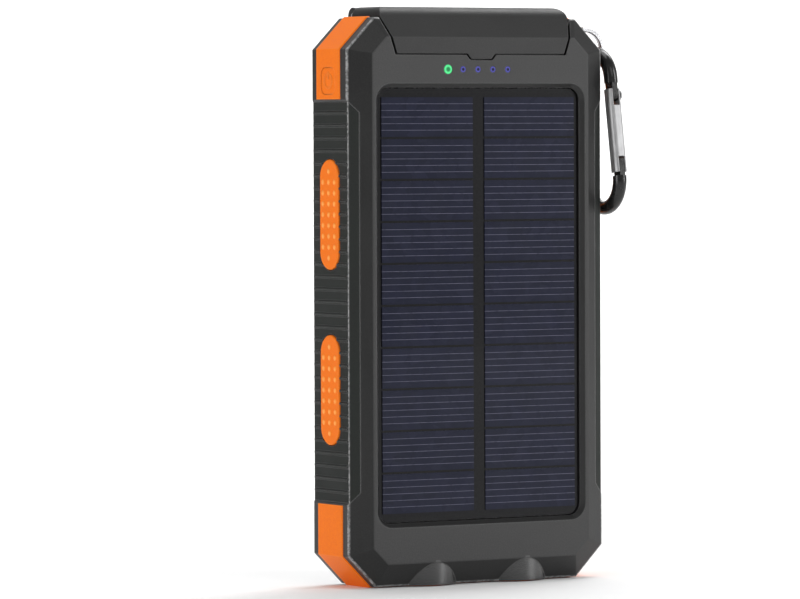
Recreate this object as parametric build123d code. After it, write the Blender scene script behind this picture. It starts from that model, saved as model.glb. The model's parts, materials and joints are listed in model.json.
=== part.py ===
"""Rugged solar phone charger, as an assembly of its separate pieces.

The charger stands on its torch end. Millimetres, +Z up, solar panel facing -Y, power key on
the -X side, ring and snap hook on the +X side at the top. The origin is the middle of the
orange bumper's flat underside, which is what the charger stands on.
"""

import os
from math import asin, cos, degrees, hypot, radians, sin

from build123d import *

# ---------------------------------------------------------------- case envelope
CASE_HALF_WIDTH = 37.2
CASE_BOTTOM = 0.3
CASE_TOP = 139.7
EDGE_FRONT = -7.5        # the flat edge strip runs from here
EDGE_BACK = 8.8          # to here
FACE_FRONT = -10.4
FACE_BACK = 10.9
BEVEL_SIDE = 5.8         # width of the bevel along the two long sides
BEVEL_TOP = 4.9
BEVEL_BOTTOM = 5.7
CORNER = 7.8             # corner cut of the edge strip
FACE_CORNER = 4.0        # corner cut of the front and back faces
EDGE_RADIUS = 0.4
PROUD = 0.3              # orange pieces stand out of the case by this much
LAYER = 1.5              # depth of the recess that grips and guards are set into

# ---------------------------------------------------------------- cavity and joint of the shells
CAVITY_HALF_WIDTH = 34.6
CAVITY_LOW = 3.1
CAVITY_HIGH = 136.9
CAVITY_CORNER = 12.5
CAVITY_FRONT = -8.2
CAVITY_BACK = 8.4
TONGUE_GAP = 0.15
TONGUE_WALL = 1.0
TONGUE_BACK = -6.3

# ---------------------------------------------------------------- side grips and pads
GRIP_LOW = 20.7
GRIP_HIGH = 119.5
GRIP_WRAP = 2.8          # how far the grip wraps over the bevel
GRIP_TAPER = 3.0
GRIP_SINK = 0.4          # the grip's flat lies this far under the case surface
RIB_PITCH = 3.1
RIB_WIDTH = 0.5
RIB_ROOT = 0.2
RIB_INSET = 0.4          # each rib ends this far inside the grip's front and back
PAD_LENGTH = 27.0
PAD_WIDTH = 8.7
PAD_Y = 1.0
PAD_OFFSET = 21.5        # from the middle of the case, up and down
PAD_RISE = 0.4
PAD_SINK = 0.8
PAD_GAP = 0.25
PAD_CHAMFER = 0.25
DOT_ROWS = 9
DOT_ROW_PITCH = 2.65
DOT_COLUMN_PITCH = 2.7
DOT_SPHERE = 1.2
DOT_RISE = 0.25

# ---------------------------------------------------------------- corner guards and bumper
GUARD_FRONT = -4.6
BUMPER_FRONT = -5.1
BAND_BACK = 6.2
GUARD_LOW = 119.7
GUARD_INNER = 28.6       # where a guard ends on the top face, in |X|
BUMPER_HIGH = 20.5
BAND_CHAMFER = 0.35

# ---------------------------------------------------------------- power key
KEY_Y = 0.8
KEY_Z = 124.2
KEY_SIZE = 6.4
KEY_GAP = 0.12
KEY_CORNER = 1.8
KEY_FACE = 37.35
KEY_FLANGE = 7.4
KEY_FLANGE_OUT = 36.6
KEY_FLANGE_IN = 36.25
KEY_FLANGE_GAP = 0.2
KEY_REST = 0.05          # play between the flange and the guard
KEY_STEM_RADIUS = 1.2
KEY_STEM_GAP = 0.3
SWITCH_FACE = 32.6
SWITCH_PLUNGER_END = 33.8
SWITCH_HALF = 2.1
ICON_RADIUS = 1.75
ICON_LINE = 0.45
ICON_NOTCH = 1.7
ICON_SINK = 0.1
SWITCH_DEPTH = 3.4
SWITCH_BACK = 2.0
SWITCH_GAP = 0.05        # between the key's stem and the plunger
SWITCH_BORE_END = 31.3
SWITCH_PLUNGER_START = 32.0
SWITCH_PLUNGER_RADIUS = 0.85

# ---------------------------------------------------------------- solar panel
PANEL_MIDDLE = 69.2
WINDOW_WIDTH = 58.8
WINDOW_HEIGHT = 106.6
WINDOW_CORNER = 3.2
WINDOW_CHAMFER = 1.1
TRAY_WALL = 1.5
TRAY_FLOOR_FRONT = -7.4
TRAY_FLOOR_BACK = -6.2
BOARD_FRONT = -8.7
BOARD_BACK = -7.6
BOARD_GAP = 0.2
ADHESIVE_INSET = 0.5
ADHESIVE_BAND = 4.0
ADHESIVE_CORNER = 1.5
CELL_THICKNESS = 0.25
CELL_COLUMNS = 2
CELL_ROWS = 10
CELL_WIDTH = 26.4
CELL_COLUMN_PITCH = 29.8
CELL_HEIGHT = 9.7
CELL_ROW_PITCH = 10.25

# ---------------------------------------------------------------- status lights
LIGHT_Z = 127.0
LIGHT_PITCH = 4.35
LIGHT_MIDDLE_X = -1.05
CHARGE_LIGHT_RADIUS = 1.2
BATTERY_LIGHT_RADIUS = 0.8
LIGHT_COUNT = 5
LIGHT_RISE = 0.1
LIGHT_CHAMFER = 0.15
LIGHT_FLANGE = 0.5
LIGHT_PIPE_BACK = -6.2
LED_HALF = (0.8, 0.5)
LED_HEIGHT = 0.9

# ---------------------------------------------------------------- port flap and its hinge
HINGE_Y = 8.7
HINGE_Z = 140.2
BARREL_RADIUS = 2.2
BARREL_HALF = 20.4
PIN_RADIUS = 0.8
RUNNING_FIT = 0.05
EAR_INNER = 20.7
EAR_OUTER = 25.5
EAR_LOW = 134.4
FLAP_TOP = 142.4
FLAP_UNDER = 139.85
FLAP_HALF_TOP = 27.3
FLAP_HALF_LIP = 24.3
FLAP_LIP_LOW = 130.9
FLAP_WALL = 1.2
FLAP_ROLL = 4.2          # radius where the bevel rolls over into the top
FLAP_END_ROUND = 2.4
FLAP_SIDE_GAP = 0.6
FLAP_LIP_GAP = 0.35
TAB_HALF_TOP = 4.0
TAB_HALF_LOW = 2.9
TAB_DROP = 1.3
FLAP_SEAT_GAP = 0.15
BARREL_GAP = 0.4
EAR_GAP = 0.1
EAR_SHOULDER = 1.5

# ---------------------------------------------------------------- ports
BAY_HALF_WIDTH = 23.6
BAY_FRONT = -6.2
BAY_BACK = 4.4
PORT_FRAME_HALF = 24.4
PORT_FRAME_FRONT = -6.1
PORT_FRAME_BACK = 5.1
PORT_FRAME_LOW = 135.2
PORT_MOUTH = 136.8
USB_X = 15.5
USB_OUTER = (14.0, 6.0, 14.0)
USB_WALL = 0.4
USB_TONGUE = (11.4, 1.9)
USB_TONGUE_RECESS = 1.0
USB_CONTACTS = 4
USB_CONTACT_PITCH = 2.3
USB_CONTACT_HALF = 0.5
USB_CONTACT_SHEET = 0.15
USB_CONTACT_LENGTH = 7.0
USB_CONTACT_TIP = 0.8    # from the tongue's end to the contacts
USB_TONGUE_SEAT = 0.6
USB_TONGUE_BASE = 1.6
MICRO_OUTER = (7.6, 2.9, 5.4)
MICRO_WALL = 0.3
MICRO_TONGUE = (5.2, 0.8)
MICRO_TONGUE_SEAT = 0.35
MICRO_TONGUE_RECESS = 0.6
PORT_GAP = 0.1
PLUG_DEPTH = 0.5         # how far a plug reaches into its port
USB_PLUG_HALF = (5.8, 1.7)
MICRO_PLUG_HALF = (2.9, 0.5)
MICRO_PLUG_DEPTH = 0.3
MICRO_PLUG_SHIFT = 0.2

# ---------------------------------------------------------------- electronics
PCB_FRONT = -4.6
PCB_BACK = -3.4
PCB_LOW = 110.0
PCB_SHOULDER = 127.5
PCB_HIGH = 134.4
PCB_HALF_WIDE = 30.4
PCB_HALF_NARROW = 24.0
BATTERY_HALF_WIDTH = 30.5
BATTERY_LOW = 12.0
BATTERY_HIGH = 107.0
BATTERY_FRONT = -6.0
BATTERY_THICKNESS = 6.5
BATTERY_PAD = 0.8
BATTERY_ROUND = 1.6
FOAM_SIDE_INSET = 6.5
FOAM_END_INSET = 8.0
BATTERY_TAB_X = 14.0
BATTERY_TAB_HALF = 3.0
BATTERY_TAB_SHEET = 0.2
FRONT_TAB_REACH = 3.0    # how far a tab runs up the board
REAR_TAB_REACH = 1.1
REAR_TAB_SHIFT = 8.0
REAR_TAB_STEP = 1.4
CHIP_HEIGHT = 1.1
CHIP_X = 22.0
CHIP_Z = 114.6
CHARGE_CHIP = (6.0, 5.0)
BOOST_CHIP = (5.0, 5.0)
GUARD_CHIP = (5.0, 4.0)
GUARD_CHIP_Z = 113.4
COIL_X = 12.0
COIL_Z = 114.5
COIL_HALF = 3.3
COIL_BASE = 2.4
COIL_TOP = 3.0
COIL_RADIUS = 2.7

# ---------------------------------------------------------------- torch
TORCH_X = 13.1
TORCH_TUBE_RADIUS = 10.3
TORCH_TUBE_TOP = 9.0
BEZEL_RADIUS = 8.6
BEZEL_OPENING = 7.0
BEZEL_TOP = 2.2
LENS_RADIUS = 6.9
LENS_LOW = 0.9
LENS_HIGH = 1.9
REFLECTOR_RIM = 7.3
REFLECTOR_THROAT = 2.2
REFLECTOR_TOP = 7.6
REFLECTOR_WALL = 0.6
REFLECTOR_GAP = 0.1
REFLECTOR_CLEAR = 0.2
LENS_CHAMFER = 0.3
TORCH_BOARD_HALF = (23.0, 6.0)
EMITTER_HALF = 1.75
EMITTER_BASE = 0.5
EMITTER_DOME = 1.3
TORCH_BOARD_LOW = 8.2
TORCH_BOARD_HIGH = 9.4

# ---------------------------------------------------------------- compass plate and compass
PLATE_TOP = 137.3
PLATE_BACK = 12.0
PLATE_SEAT = 9.6
PLATE_HALF_TOP = 25.5
PLATE_WAIST = 110.3      # where the slanted sides end
PLATE_HALF_WAIST = 17.0
PLATE_FOOT = 103.3
PLATE_HALF_FOOT = 11.0
PLATE_GROOVE = 1.8
PLATE_CORNER = 6.0
COMPASS_Z = 121.9
COMPASS_RECESS_RADIUS = 7.75
COMPASS_CUP_RADIUS = 7.1
COMPASS_CUP_WALL = 0.8
COMPASS_CUP_FLOOR = 5.2
COMPASS_LENS_BACK = 11.5
COMPASS_LENS_THICKNESS = 1.0
CARD_RADIUS = 5.85
CARD_FRONT = 8.8
CARD_THICKNESS = 0.5
PIVOT_RADIUS = 0.5
PIVOT_TIP = 0.4
PIVOT_FOOT = 0.6
PIVOT_FOOT_RADIUS = 1.4
MAGNET_HALF = (4.2, 1.1)
MAGNET_THICKNESS = 0.9
COMPASS_LENS_SINK = 0.1
PLATE_CHAMFER = 0.4
COLLAR_CHAMFER = 0.25

# ---------------------------------------------------------------- back details and screws
SCREW_X = 27.5
SCREW_INSET = 7.6        # from either end of the case
BOSS_RADIUS = 3.0
BOSS_MEET = -0.9
SCREW_RADIUS = 1.0
SCREW_HEAD_RADIUS = 1.9
SCREW_HEAD_SEAT = 6.0
SCREW_HEAD_BACK = 7.4
SCREW_TIP = -6.5
CAP_RADIUS = 2.1
CAP_RING_GAP = 0.25
CAP_RING_DEPTH = 0.5
CAP_SINK = 0.1
CAP_CHAMFER = 0.25
CROSS_HALF = 1.1
CROSS_WIDTH = 0.2
CROSS_DEPTH = 0.7
CAP_SEAT = 9.2
SLOT_X = 28.0
SLOT_WIDTH = 2.3
SLOT_LENGTH = 34.0
SLOT_DEPTH = 1.0
SLOT_INSET = 16.0

# ---------------------------------------------------------------- strap bar, ring and snap hook
BAR_X = 33.6
BAR_Z = 133.0
BAR_RADIUS = 1.0
BAR_HALF = 3.4
RING_OUTER = 6.1
RING_INNER = 4.85
RING_TURN = 0.6          # thickness of one of the ring's two turns
RING_TURN_GAP = 0.06
RING_CHAMFER = 0.2
RING_CUT_ANGLE = 8.0     # each turn's cut end lies this far off the top, degrees
RING_CUT_HALF = 0.15
RING_CROSSING_HALF = 0.6
RING_REACH = 3.75        # from the bar's axis to the ring's centre
RING_DROP = 20.0         # how far below level the ring hangs, degrees
RING_SWING = 60.0
POCKET_HALF = 1.15
POCKET_GAP = 0.35
HOOK_ROD = 1.75
HOOK_RADIUS = 7.0
HOOK_STRAIGHT = 25.0
HOOK_REACH = 2.8         # from the ring's centre to the hook's rod
HOOK_DROP = 15.0
HOOK_LEAN = 9.0          # the hook hangs tilted towards the front, degrees
ARM_END = 8.5            # lengths down the hook, from the top of its centre line
TONGUE_TOP = 7.7
GATE_TOP = 10.1
GATE_PIVOT = 11.6
GATE_SLOT_TOP = 14.3
GATE_SLOT_LOW = 27.2
GATE_PIN = 29.5
GATE_LOW = 31.1
NOSE_TIP = 27.8
NOSE_ROOT = 32.6
GATE_HALF_X = 1.75
GATE_HALF_W = 1.7
GATE_CORNER = 1.15
TONGUE_HALF = 0.75
GATE_SLOT_HALF = 0.9
TONGUE_WIDTH = 1.6       # half widths in the hook's own plane
NOSE_WIDTH_OUT = 1.5
NOSE_WIDTH_IN = 1.2
SLOT_REACH = 3.0         # wider than the rod, for cuts across it
RIVET_CHAMFER = 0.2
RIVET_RADIUS = 0.75
RIVET_HEAD_RADIUS = 1.25
RIVET_HEAD = 0.5
LATCH_PIN_RADIUS = 0.6
NOTCH_RADIUS = 0.85

CASE_MIDDLE = (CASE_BOTTOM + CASE_TOP) / 2
SCREW_HEIGHTS = (CASE_BOTTOM + SCREW_INSET, CASE_TOP - SCREW_INSET)
BEYOND = 60.0            # longer than any cut it is used for
ABOVE = 180.0            # higher than the whole charger
OVER = 1.0               # how far a cutting shape runs past the surface it opens
JOIN = 0.5               # how far pieces that are fused run into each other
NEAR = 0.1               # reach of a test for whether a point lies on a surface


# ---------------------------------------------------------------- helpers
def block(x, y, z):
    """A box from its low and high values along X, Y and Z."""
    spans = (x, y, z)
    centre = [(low + high) / 2 for low, high in spans]
    size = [high - low for low, high in spans]
    return Pos(*centre) * Box(*size)


def rod(start, end, radius):
    """A round bar between two points."""
    along = Vector(*end) - Vector(*start)
    return extrude(Plane(origin=start, z_dir=along) * Circle(radius), along.length)


def plate_y(points, front, back):
    """An outline of (x, z) points, extruded from front to back along Y."""
    face = make_face(Polyline(*[(x, front, z) for x, z in points], close=True))
    return extrude(face, back - front, dir=(0, 1, 0))


def plate_x(points, left, right):
    """An outline of (y, z) points, extruded from left to right along X."""
    face = make_face(Polyline(*[(left, y, z) for y, z in points], close=True))
    return extrude(face, right - left, dir=(1, 0, 0))


def rounded_plate_y(width, height, corner, centre, front, back):
    """A rectangle with round corners, centred on (x, z), extruded along Y."""
    face = Plane(origin=(centre[0], front, centre[1]), x_dir=(1, 0, 0), z_dir=(0, -1, 0))
    return extrude(face * RectangleRounded(width, height, corner), front - back)


def on_both_sides(shape):
    """The shape and its mirror image across the middle of the charger."""
    return shape, mirror(shape, about=Plane.YZ)


def write(name, *solids):
    """Write one piece, or a group of like pieces, as one node."""
    loose = [solid for piece in solids for solid in piece.solids()]
    export_step(loose[0] if len(loose) == 1 else Compound(loose), f"parts/{name}.step")


# ---------------------------------------------------------------- case envelope
def octagon(y, half_width, low, high, corner):
    """The eight-sided outline of the case, as a face in the plane at y."""
    points = [
        (-half_width, low + corner),
        (-half_width + corner, low),
        (half_width - corner, low),
        (half_width, low + corner),
        (half_width, high - corner),
        (half_width - corner, high),
        (-half_width + corner, high),
        (-half_width, high - corner),
    ]
    return make_face(Polyline(*[(x, y, z) for x, z in points], close=True))


def envelope(inset=0.0):
    """The whole outside form of the case, with every face moved inwards by inset."""
    depth_front = EDGE_FRONT - FACE_FRONT
    depth_back = FACE_BACK - EDGE_BACK
    slope_front = hypot(depth_front, BEVEL_SIDE)
    slope_back = hypot(depth_back, BEVEL_SIDE)
    edge_front = EDGE_FRONT + inset * (slope_front - depth_front) / BEVEL_SIDE
    edge_back = EDGE_BACK - inset * (slope_back - depth_back) / BEVEL_SIDE
    face_shift = inset * (slope_front - BEVEL_SIDE) / depth_front
    corner_shift = inset * (2 - 2 ** 0.5)

    def middle(y):
        return octagon(
            y,
            CASE_HALF_WIDTH - inset,
            CASE_BOTTOM + inset,
            CASE_TOP - inset,
            CORNER - corner_shift,
        )

    def face(y):
        return octagon(
            y,
            CASE_HALF_WIDTH - BEVEL_SIDE - face_shift,
            CASE_BOTTOM + BEVEL_BOTTOM + face_shift,
            CASE_TOP - BEVEL_TOP - face_shift,
            FACE_CORNER,
        )

    strip = extrude(middle(edge_front), edge_back - edge_front, dir=(0, 1, 0))
    front = loft([face(FACE_FRONT + inset), middle(edge_front)], ruled=True)
    back = loft([middle(edge_back), face(FACE_BACK - inset)], ruled=True)
    return strip + front + back


def cavity():
    """The hollow inside the two shells."""
    start = octagon(CAVITY_FRONT, CAVITY_HALF_WIDTH, CAVITY_LOW, CAVITY_HIGH, CAVITY_CORNER)
    return extrude(start, CAVITY_BACK - CAVITY_FRONT, dir=(0, 1, 0))


def torch_axes():
    """The two torch positions along X."""
    return (-TORCH_X, TORCH_X)


def torch_tubes():
    """The round bulges that the two torches make in both bevels."""
    tubes = [rod((x, 0, CASE_BOTTOM), (x, 0, TORCH_TUBE_TOP), TORCH_TUBE_RADIUS) for x in torch_axes()]
    return tubes[0] + tubes[1]


# ---------------------------------------------------------------- recesses shared by several pieces
def grip_zone():
    """Both side zones that the ribbed grips cover, seen from the front, through the whole case."""
    outer = CASE_HALF_WIDTH + OVER
    inner = CASE_HALF_WIDTH - GRIP_WRAP
    points = [
        (outer, GRIP_LOW),
        (CASE_HALF_WIDTH, GRIP_LOW),
        (inner, GRIP_LOW + GRIP_TAPER),
        (inner, GRIP_HIGH - GRIP_TAPER),
        (CASE_HALF_WIDTH, GRIP_HIGH),
        (outer, GRIP_HIGH),
    ]
    return on_both_sides(plate_y(points, FACE_FRONT - OVER, FACE_BACK + OVER))


def guard_zone():
    """Both top corners that the orange guards cover."""
    outer = CASE_HALF_WIDTH + OVER
    return on_both_sides(
        block((GUARD_INNER, outer), (GUARD_FRONT, BAND_BACK), (GUARD_LOW, CASE_TOP + OVER))
    )


def bumper_zone():
    """The band round the torch end."""
    outer = CASE_HALF_WIDTH + OVER
    return block((-outer, outer), (BUMPER_FRONT, BAND_BACK), (CASE_BOTTOM - OVER, BUMPER_HIGH))


def bezel_discs(radius, low, high):
    """Two discs on the torch axes."""
    discs = [rod((x, 0, low), (x, 0, high), radius) for x in torch_axes()]
    return discs[0] + discs[1]


def ring_centre(swing):
    """The ring's centre in X and Z when it has swung out by this many degrees."""
    angle = radians(swing - RING_DROP)
    return BAR_X + RING_REACH * cos(angle), BAR_Z + RING_REACH * sin(angle)


def ring_pocket():
    """The slot in the top right corner that the ring swings in."""
    steps = 4
    pocket = None
    for step in range(steps + 1):
        x, z = ring_centre(RING_SWING * step / steps)
        disc = rod((x, -POCKET_HALF, z), (x, POCKET_HALF, z), RING_OUTER + POCKET_GAP)
        pocket = disc if pocket is None else pocket + disc
    return pocket


def flap_outline(grow, drop):
    """The flap seen from the front, as (x, z) points, grown sideways by grow and down by drop."""
    return [
        (-FLAP_HALF_LIP - grow, FLAP_LIP_LOW - drop),
        (FLAP_HALF_LIP + grow, FLAP_LIP_LOW - drop),
        (FLAP_HALF_TOP + grow, CASE_TOP),
        (FLAP_HALF_TOP + grow, FLAP_TOP + OVER),
        (-FLAP_HALF_TOP - grow, FLAP_TOP + OVER),
        (-FLAP_HALF_TOP - grow, CASE_TOP),
    ]


def tab_outline(grow):
    """The thumb tab under the flap's lip."""
    top = FLAP_LIP_LOW + JOIN
    low = FLAP_LIP_LOW - TAB_DROP - grow
    return [
        (-TAB_HALF_LOW - grow, low),
        (TAB_HALF_LOW + grow, low),
        (TAB_HALF_TOP + grow, FLAP_LIP_LOW - grow),
        (TAB_HALF_TOP + grow, top),
        (-TAB_HALF_TOP - grow, top),
        (-TAB_HALF_TOP - grow, FLAP_LIP_LOW - grow),
    ]


def bevel_y(z, inset):
    """Y of the top front bevel's surface at height z, moved inwards by inset."""
    depth = EDGE_FRONT - FACE_FRONT
    slope = hypot(depth, BEVEL_TOP)
    return EDGE_FRONT - depth * (CASE_TOP - z) / BEVEL_TOP + inset * slope / BEVEL_TOP


def flap_recess():
    """What the front shell gives up so that the flap lies flush in its face and bevel."""
    floor = FLAP_WALL + FLAP_SEAT_GAP
    section = [
        (FACE_FRONT - OVER, FLAP_LIP_LOW - TAB_DROP - OVER),
        (FACE_FRONT + floor, FLAP_LIP_LOW - TAB_DROP - OVER),
        (FACE_FRONT + floor, CASE_TOP - BEVEL_TOP),
        (bevel_y(CASE_TOP + OVER, floor), CASE_TOP + OVER),
        (FACE_FRONT - OVER, CASE_TOP + OVER),
    ]
    wedge = plate_x(section, -BEYOND / 2, BEYOND / 2)
    lip = plate_y(flap_outline(FLAP_SIDE_GAP, FLAP_LIP_GAP), FACE_FRONT - OVER, 0)
    tab = plate_y(tab_outline(FLAP_LIP_GAP), FACE_FRONT - OVER, 0)
    return wedge & (lip + tab)


# ---------------------------------------------------------------- compass plate outline
def compass_outline(grow):
    """The compass plate seen from behind: wide at the hinge, narrow at its foot."""
    return [
        (-PLATE_HALF_TOP - grow, PLATE_TOP),
        (PLATE_HALF_TOP + grow, PLATE_TOP),
        (PLATE_HALF_WAIST + grow, PLATE_WAIST - grow / 2),
        (PLATE_HALF_FOOT + grow, PLATE_FOOT - grow),
        (-PLATE_HALF_FOOT - grow, PLATE_FOOT - grow),
        (-PLATE_HALF_WAIST - grow, PLATE_WAIST - grow / 2),
    ]


def compass_block(grow, seat, back):
    """The plate's outline as a solid, with round lower corners."""
    solid = plate_y(compass_outline(grow), seat, back)
    corners = [edge for edge in solid.edges().filter_by(Axis.Y) if edge.center().Z < PLATE_TOP - OVER]
    return fillet(corners, PLATE_CORNER)


def ear_section():
    """Side view of one hinge ear, below its round end."""
    return [
        (HINGE_Y - BARREL_RADIUS, EAR_LOW),
        (HINGE_Y - BARREL_RADIUS, HINGE_Z),
        (HINGE_Y + BARREL_RADIUS, HINGE_Z),
        (PLATE_BACK, HINGE_Z - EAR_SHOULDER),
        (PLATE_BACK, EAR_LOW),
    ]


def ears(side_gap=0.0):
    """The two ears that hold the hinge pin."""
    solids = []
    for left, right in ((-EAR_OUTER, -EAR_INNER), (EAR_INNER, EAR_OUTER)):
        left -= side_gap
        right += side_gap
        ear = plate_x(ear_section(), left, right)
        solids.append(ear + rod((left, HINGE_Y, HINGE_Z), (right, HINGE_Y, HINGE_Z), BARREL_RADIUS))
    return solids[0] + solids[1]


# ---------------------------------------------------------------- shells
def screw_axes():
    """(x, z) of the four case screws."""
    return [(x, z) for x in (-SCREW_X, SCREW_X) for z in SCREW_HEIGHTS]


def edge_recesses():
    """Everything sunk into the edge: grips, guards, bumper, ring pocket."""
    layer = envelope(-OVER) - envelope(LAYER)
    zones = (*grip_zone(), *guard_zone(), bumper_zone())
    cuts = [layer & zone for zone in zones]
    cuts.append(bezel_discs(BEZEL_RADIUS, CASE_BOTTOM - OVER, BEZEL_TOP))
    cuts.append(ring_pocket())
    return cuts


def light_positions():
    """X of each status light, the charge light first."""
    first = LIGHT_MIDDLE_X - LIGHT_PITCH * (LIGHT_COUNT - 1) / 2
    return [first + LIGHT_PITCH * place for place in range(LIGHT_COUNT)]


def light_radius(place):
    """The charge light is larger than the battery lights."""
    return CHARGE_LIGHT_RADIUS if place == 0 else BATTERY_LIGHT_RADIUS


def front_shell(body, recesses):
    """The front cover: face, bevel, panel tray, screw posts and locating tongue."""
    shell = (body & block((-BEYOND, BEYOND), (-BEYOND, EDGE_FRONT), (-BEYOND, ABOVE))) - cavity()
    tongue_half = CAVITY_HALF_WIDTH - TONGUE_GAP
    tongue_outer = octagon(
        CAVITY_FRONT,
        tongue_half,
        CAVITY_LOW + TONGUE_GAP,
        CAVITY_HIGH - TONGUE_GAP,
        CAVITY_CORNER,
    )
    tongue_inner = octagon(
        CAVITY_FRONT,
        tongue_half - TONGUE_WALL,
        CAVITY_LOW + TONGUE_GAP + TONGUE_WALL,
        CAVITY_HIGH - TONGUE_GAP - TONGUE_WALL,
        CAVITY_CORNER,
    )
    shell += extrude(tongue_outer - tongue_inner, TONGUE_BACK - CAVITY_FRONT, dir=(0, 1, 0))
    shell += rounded_plate_y(
        WINDOW_WIDTH + 2 * TRAY_WALL,
        WINDOW_HEIGHT + 2 * TRAY_WALL,
        WINDOW_CORNER + TRAY_WALL,
        (0, PANEL_MIDDLE),
        CAVITY_FRONT - OVER,
        TRAY_FLOOR_BACK,
    )
    for x, z in screw_axes():
        shell += rod((x, CAVITY_FRONT - JOIN, z), (x, BOSS_MEET, z), BOSS_RADIUS)
    for x, z in screw_axes():
        shell -= rod((x, SCREW_TIP, z), (x, BOSS_MEET + OVER, z), SCREW_RADIUS)
    shell -= panel_pocket()
    for place, x in enumerate(light_positions()):
        start = (x, FACE_FRONT - OVER, LIGHT_Z)
        shell -= rod(start, (x, CAVITY_FRONT + OVER, LIGHT_Z), light_radius(place))
    shell -= bezel_discs(REFLECTOR_RIM + REFLECTOR_GAP, CASE_BOTTOM - OVER, CAVITY_LOW + REFLECTOR_CLEAR)
    for cut in recesses:
        shell -= cut
    return shell - flap_recess()


def panel_pocket():
    """The window and tray that the solar panel lies in, with its chamfered rim."""
    centre = (0, PANEL_MIDDLE)
    pocket = rounded_plate_y(
        WINDOW_WIDTH, WINDOW_HEIGHT, WINDOW_CORNER, centre, FACE_FRONT - OVER, TRAY_FLOOR_FRONT
    )

    def rim(y, grow):
        plane = Plane(origin=(0, y, PANEL_MIDDLE), x_dir=(1, 0, 0), z_dir=(0, -1, 0))
        return plane * RectangleRounded(
            WINDOW_WIDTH + 2 * grow, WINDOW_HEIGHT + 2 * grow, WINDOW_CORNER + grow
        )

    flare = loft(
        [rim(FACE_FRONT - NEAR, WINDOW_CHAMFER + NEAR), rim(FACE_FRONT + WINDOW_CHAMFER, 0)], ruled=True
    )
    return pocket + flare


def back_shell(body, recesses):
    """The back cover: back face, edge strip, screw bosses, port bay and hinge channel."""
    shell = (body & block((-BEYOND, BEYOND), (EDGE_FRONT, BEYOND), (-BEYOND, ABOVE))) - cavity()
    for x, z in screw_axes():
        shell -= rod((x, -BEYOND, z), (x, BOSS_MEET, z), BOSS_RADIUS + TONGUE_GAP)
        shell += rod((x, BOSS_MEET, z), (x, CAVITY_BACK + JOIN, z), BOSS_RADIUS)
    for x, z in screw_axes():
        shell -= rod((x, BOSS_MEET - OVER, z), (x, CAP_SEAT, z), SCREW_RADIUS)
        shell -= rod((x, SCREW_HEAD_SEAT, z), (x, CAP_SEAT, z), SCREW_HEAD_RADIUS)
        shell -= rod((x, CAP_SEAT, z), (x, BEYOND, z), CAP_RADIUS)
        shell -= rod((x, FACE_BACK - CAP_RING_DEPTH, z), (x, BEYOND, z), CAP_RADIUS + CAP_RING_GAP)
    shell -= compass_block(PLATE_GROOVE, PLATE_SEAT, BEYOND)
    shell -= rod((0, 0, COMPASS_Z), (0, BEYOND, COMPASS_Z), COMPASS_CUP_RADIUS)
    shell -= block((-BAY_HALF_WIDTH, BAY_HALF_WIDTH), (BAY_FRONT, BAY_BACK), (PORT_MOUTH, ABOVE))
    shell -= port_frame_blank()
    shell -= hinge_channel()
    shell -= ears(EAR_GAP)
    for slot in back_slots():
        shell -= slot
    shell -= bezel_discs(REFLECTOR_RIM + REFLECTOR_GAP, CASE_BOTTOM - OVER, CAVITY_LOW + REFLECTOR_CLEAR)
    shell -= rod((-BEYOND, KEY_Y, KEY_Z), (-SWITCH_FACE, KEY_Y, KEY_Z), KEY_STEM_RADIUS + KEY_STEM_GAP)
    for cut in recesses:
        shell -= cut
    return shell - flap_recess() - strap_bar()


def strap_bar():
    """The metal bar in the corner that the ring hangs on."""
    return rod((BAR_X, -BAR_HALF, BAR_Z), (BAR_X, BAR_HALF, BAR_Z), BAR_RADIUS)


def hinge_channel():
    """Room round the flap's barrel, open to the back and top."""
    half = EAR_INNER
    round_part = rod((-half, HINGE_Y, HINGE_Z), (half, HINGE_Y, HINGE_Z), BARREL_RADIUS + BARREL_GAP)
    open_part = block((-half, half), (HINGE_Y, BEYOND), (HINGE_Z - BARREL_RADIUS - BARREL_GAP, ABOVE))
    return round_part + open_part


def back_slots():
    """The four long grooves in the back face."""
    slots = []
    for x in (-SLOT_X, SLOT_X):
        for sign in (-1, 1):
            outer_end = CASE_MIDDLE + sign * ((CASE_TOP - CASE_BOTTOM) / 2 - SLOT_INSET)
            middle = outer_end - sign * SLOT_LENGTH / 2
            plane = Plane(origin=(x, FACE_BACK - SLOT_DEPTH, middle), x_dir=(0, 0, 1), z_dir=(0, 1, 0))
            slots.append(extrude(plane * SlotOverall(SLOT_LENGTH, SLOT_WIDTH), SLOT_DEPTH + OVER))
    return slots


# ---------------------------------------------------------------- grips, pads, guards, bumper
def side_grips(pads_room):
    """The two ribbed grips, with oval seats for their pads."""
    layer = envelope() - envelope(LAYER)
    grips = []
    for zone, side in zip(grip_zone(), (1, -1)):
        reach = CASE_HALF_WIDTH - GRIP_SINK
        grip = (layer & zone) & block((-reach, reach), (-BEYOND, BEYOND), (0, ABOVE))
        ribs = round((GRIP_HIGH - GRIP_LOW) / RIB_PITCH)
        for rib in range(1, ribs):
            z = GRIP_LOW + (GRIP_HIGH - GRIP_LOW) * rib / ribs
            grip += rib_block(side, z)
        grips.append(grip - pads_room[0] - pads_room[1])
    return grips


def rib_block(side, z):
    """One raised rib across the edge, with sloping flanks."""
    root = CASE_HALF_WIDTH - GRIP_SINK
    points = [
        (side * (root - RIB_ROOT), z - RIB_WIDTH),
        (side * root, z - RIB_WIDTH),
        (side * CASE_HALF_WIDTH, z - RIB_WIDTH / 4),
        (side * CASE_HALF_WIDTH, z + RIB_WIDTH / 4),
        (side * root, z + RIB_WIDTH),
        (side * (root - RIB_ROOT), z + RIB_WIDTH),
    ]
    return plate_y(points, EDGE_FRONT + RIB_INSET, EDGE_BACK - RIB_INSET)


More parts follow.
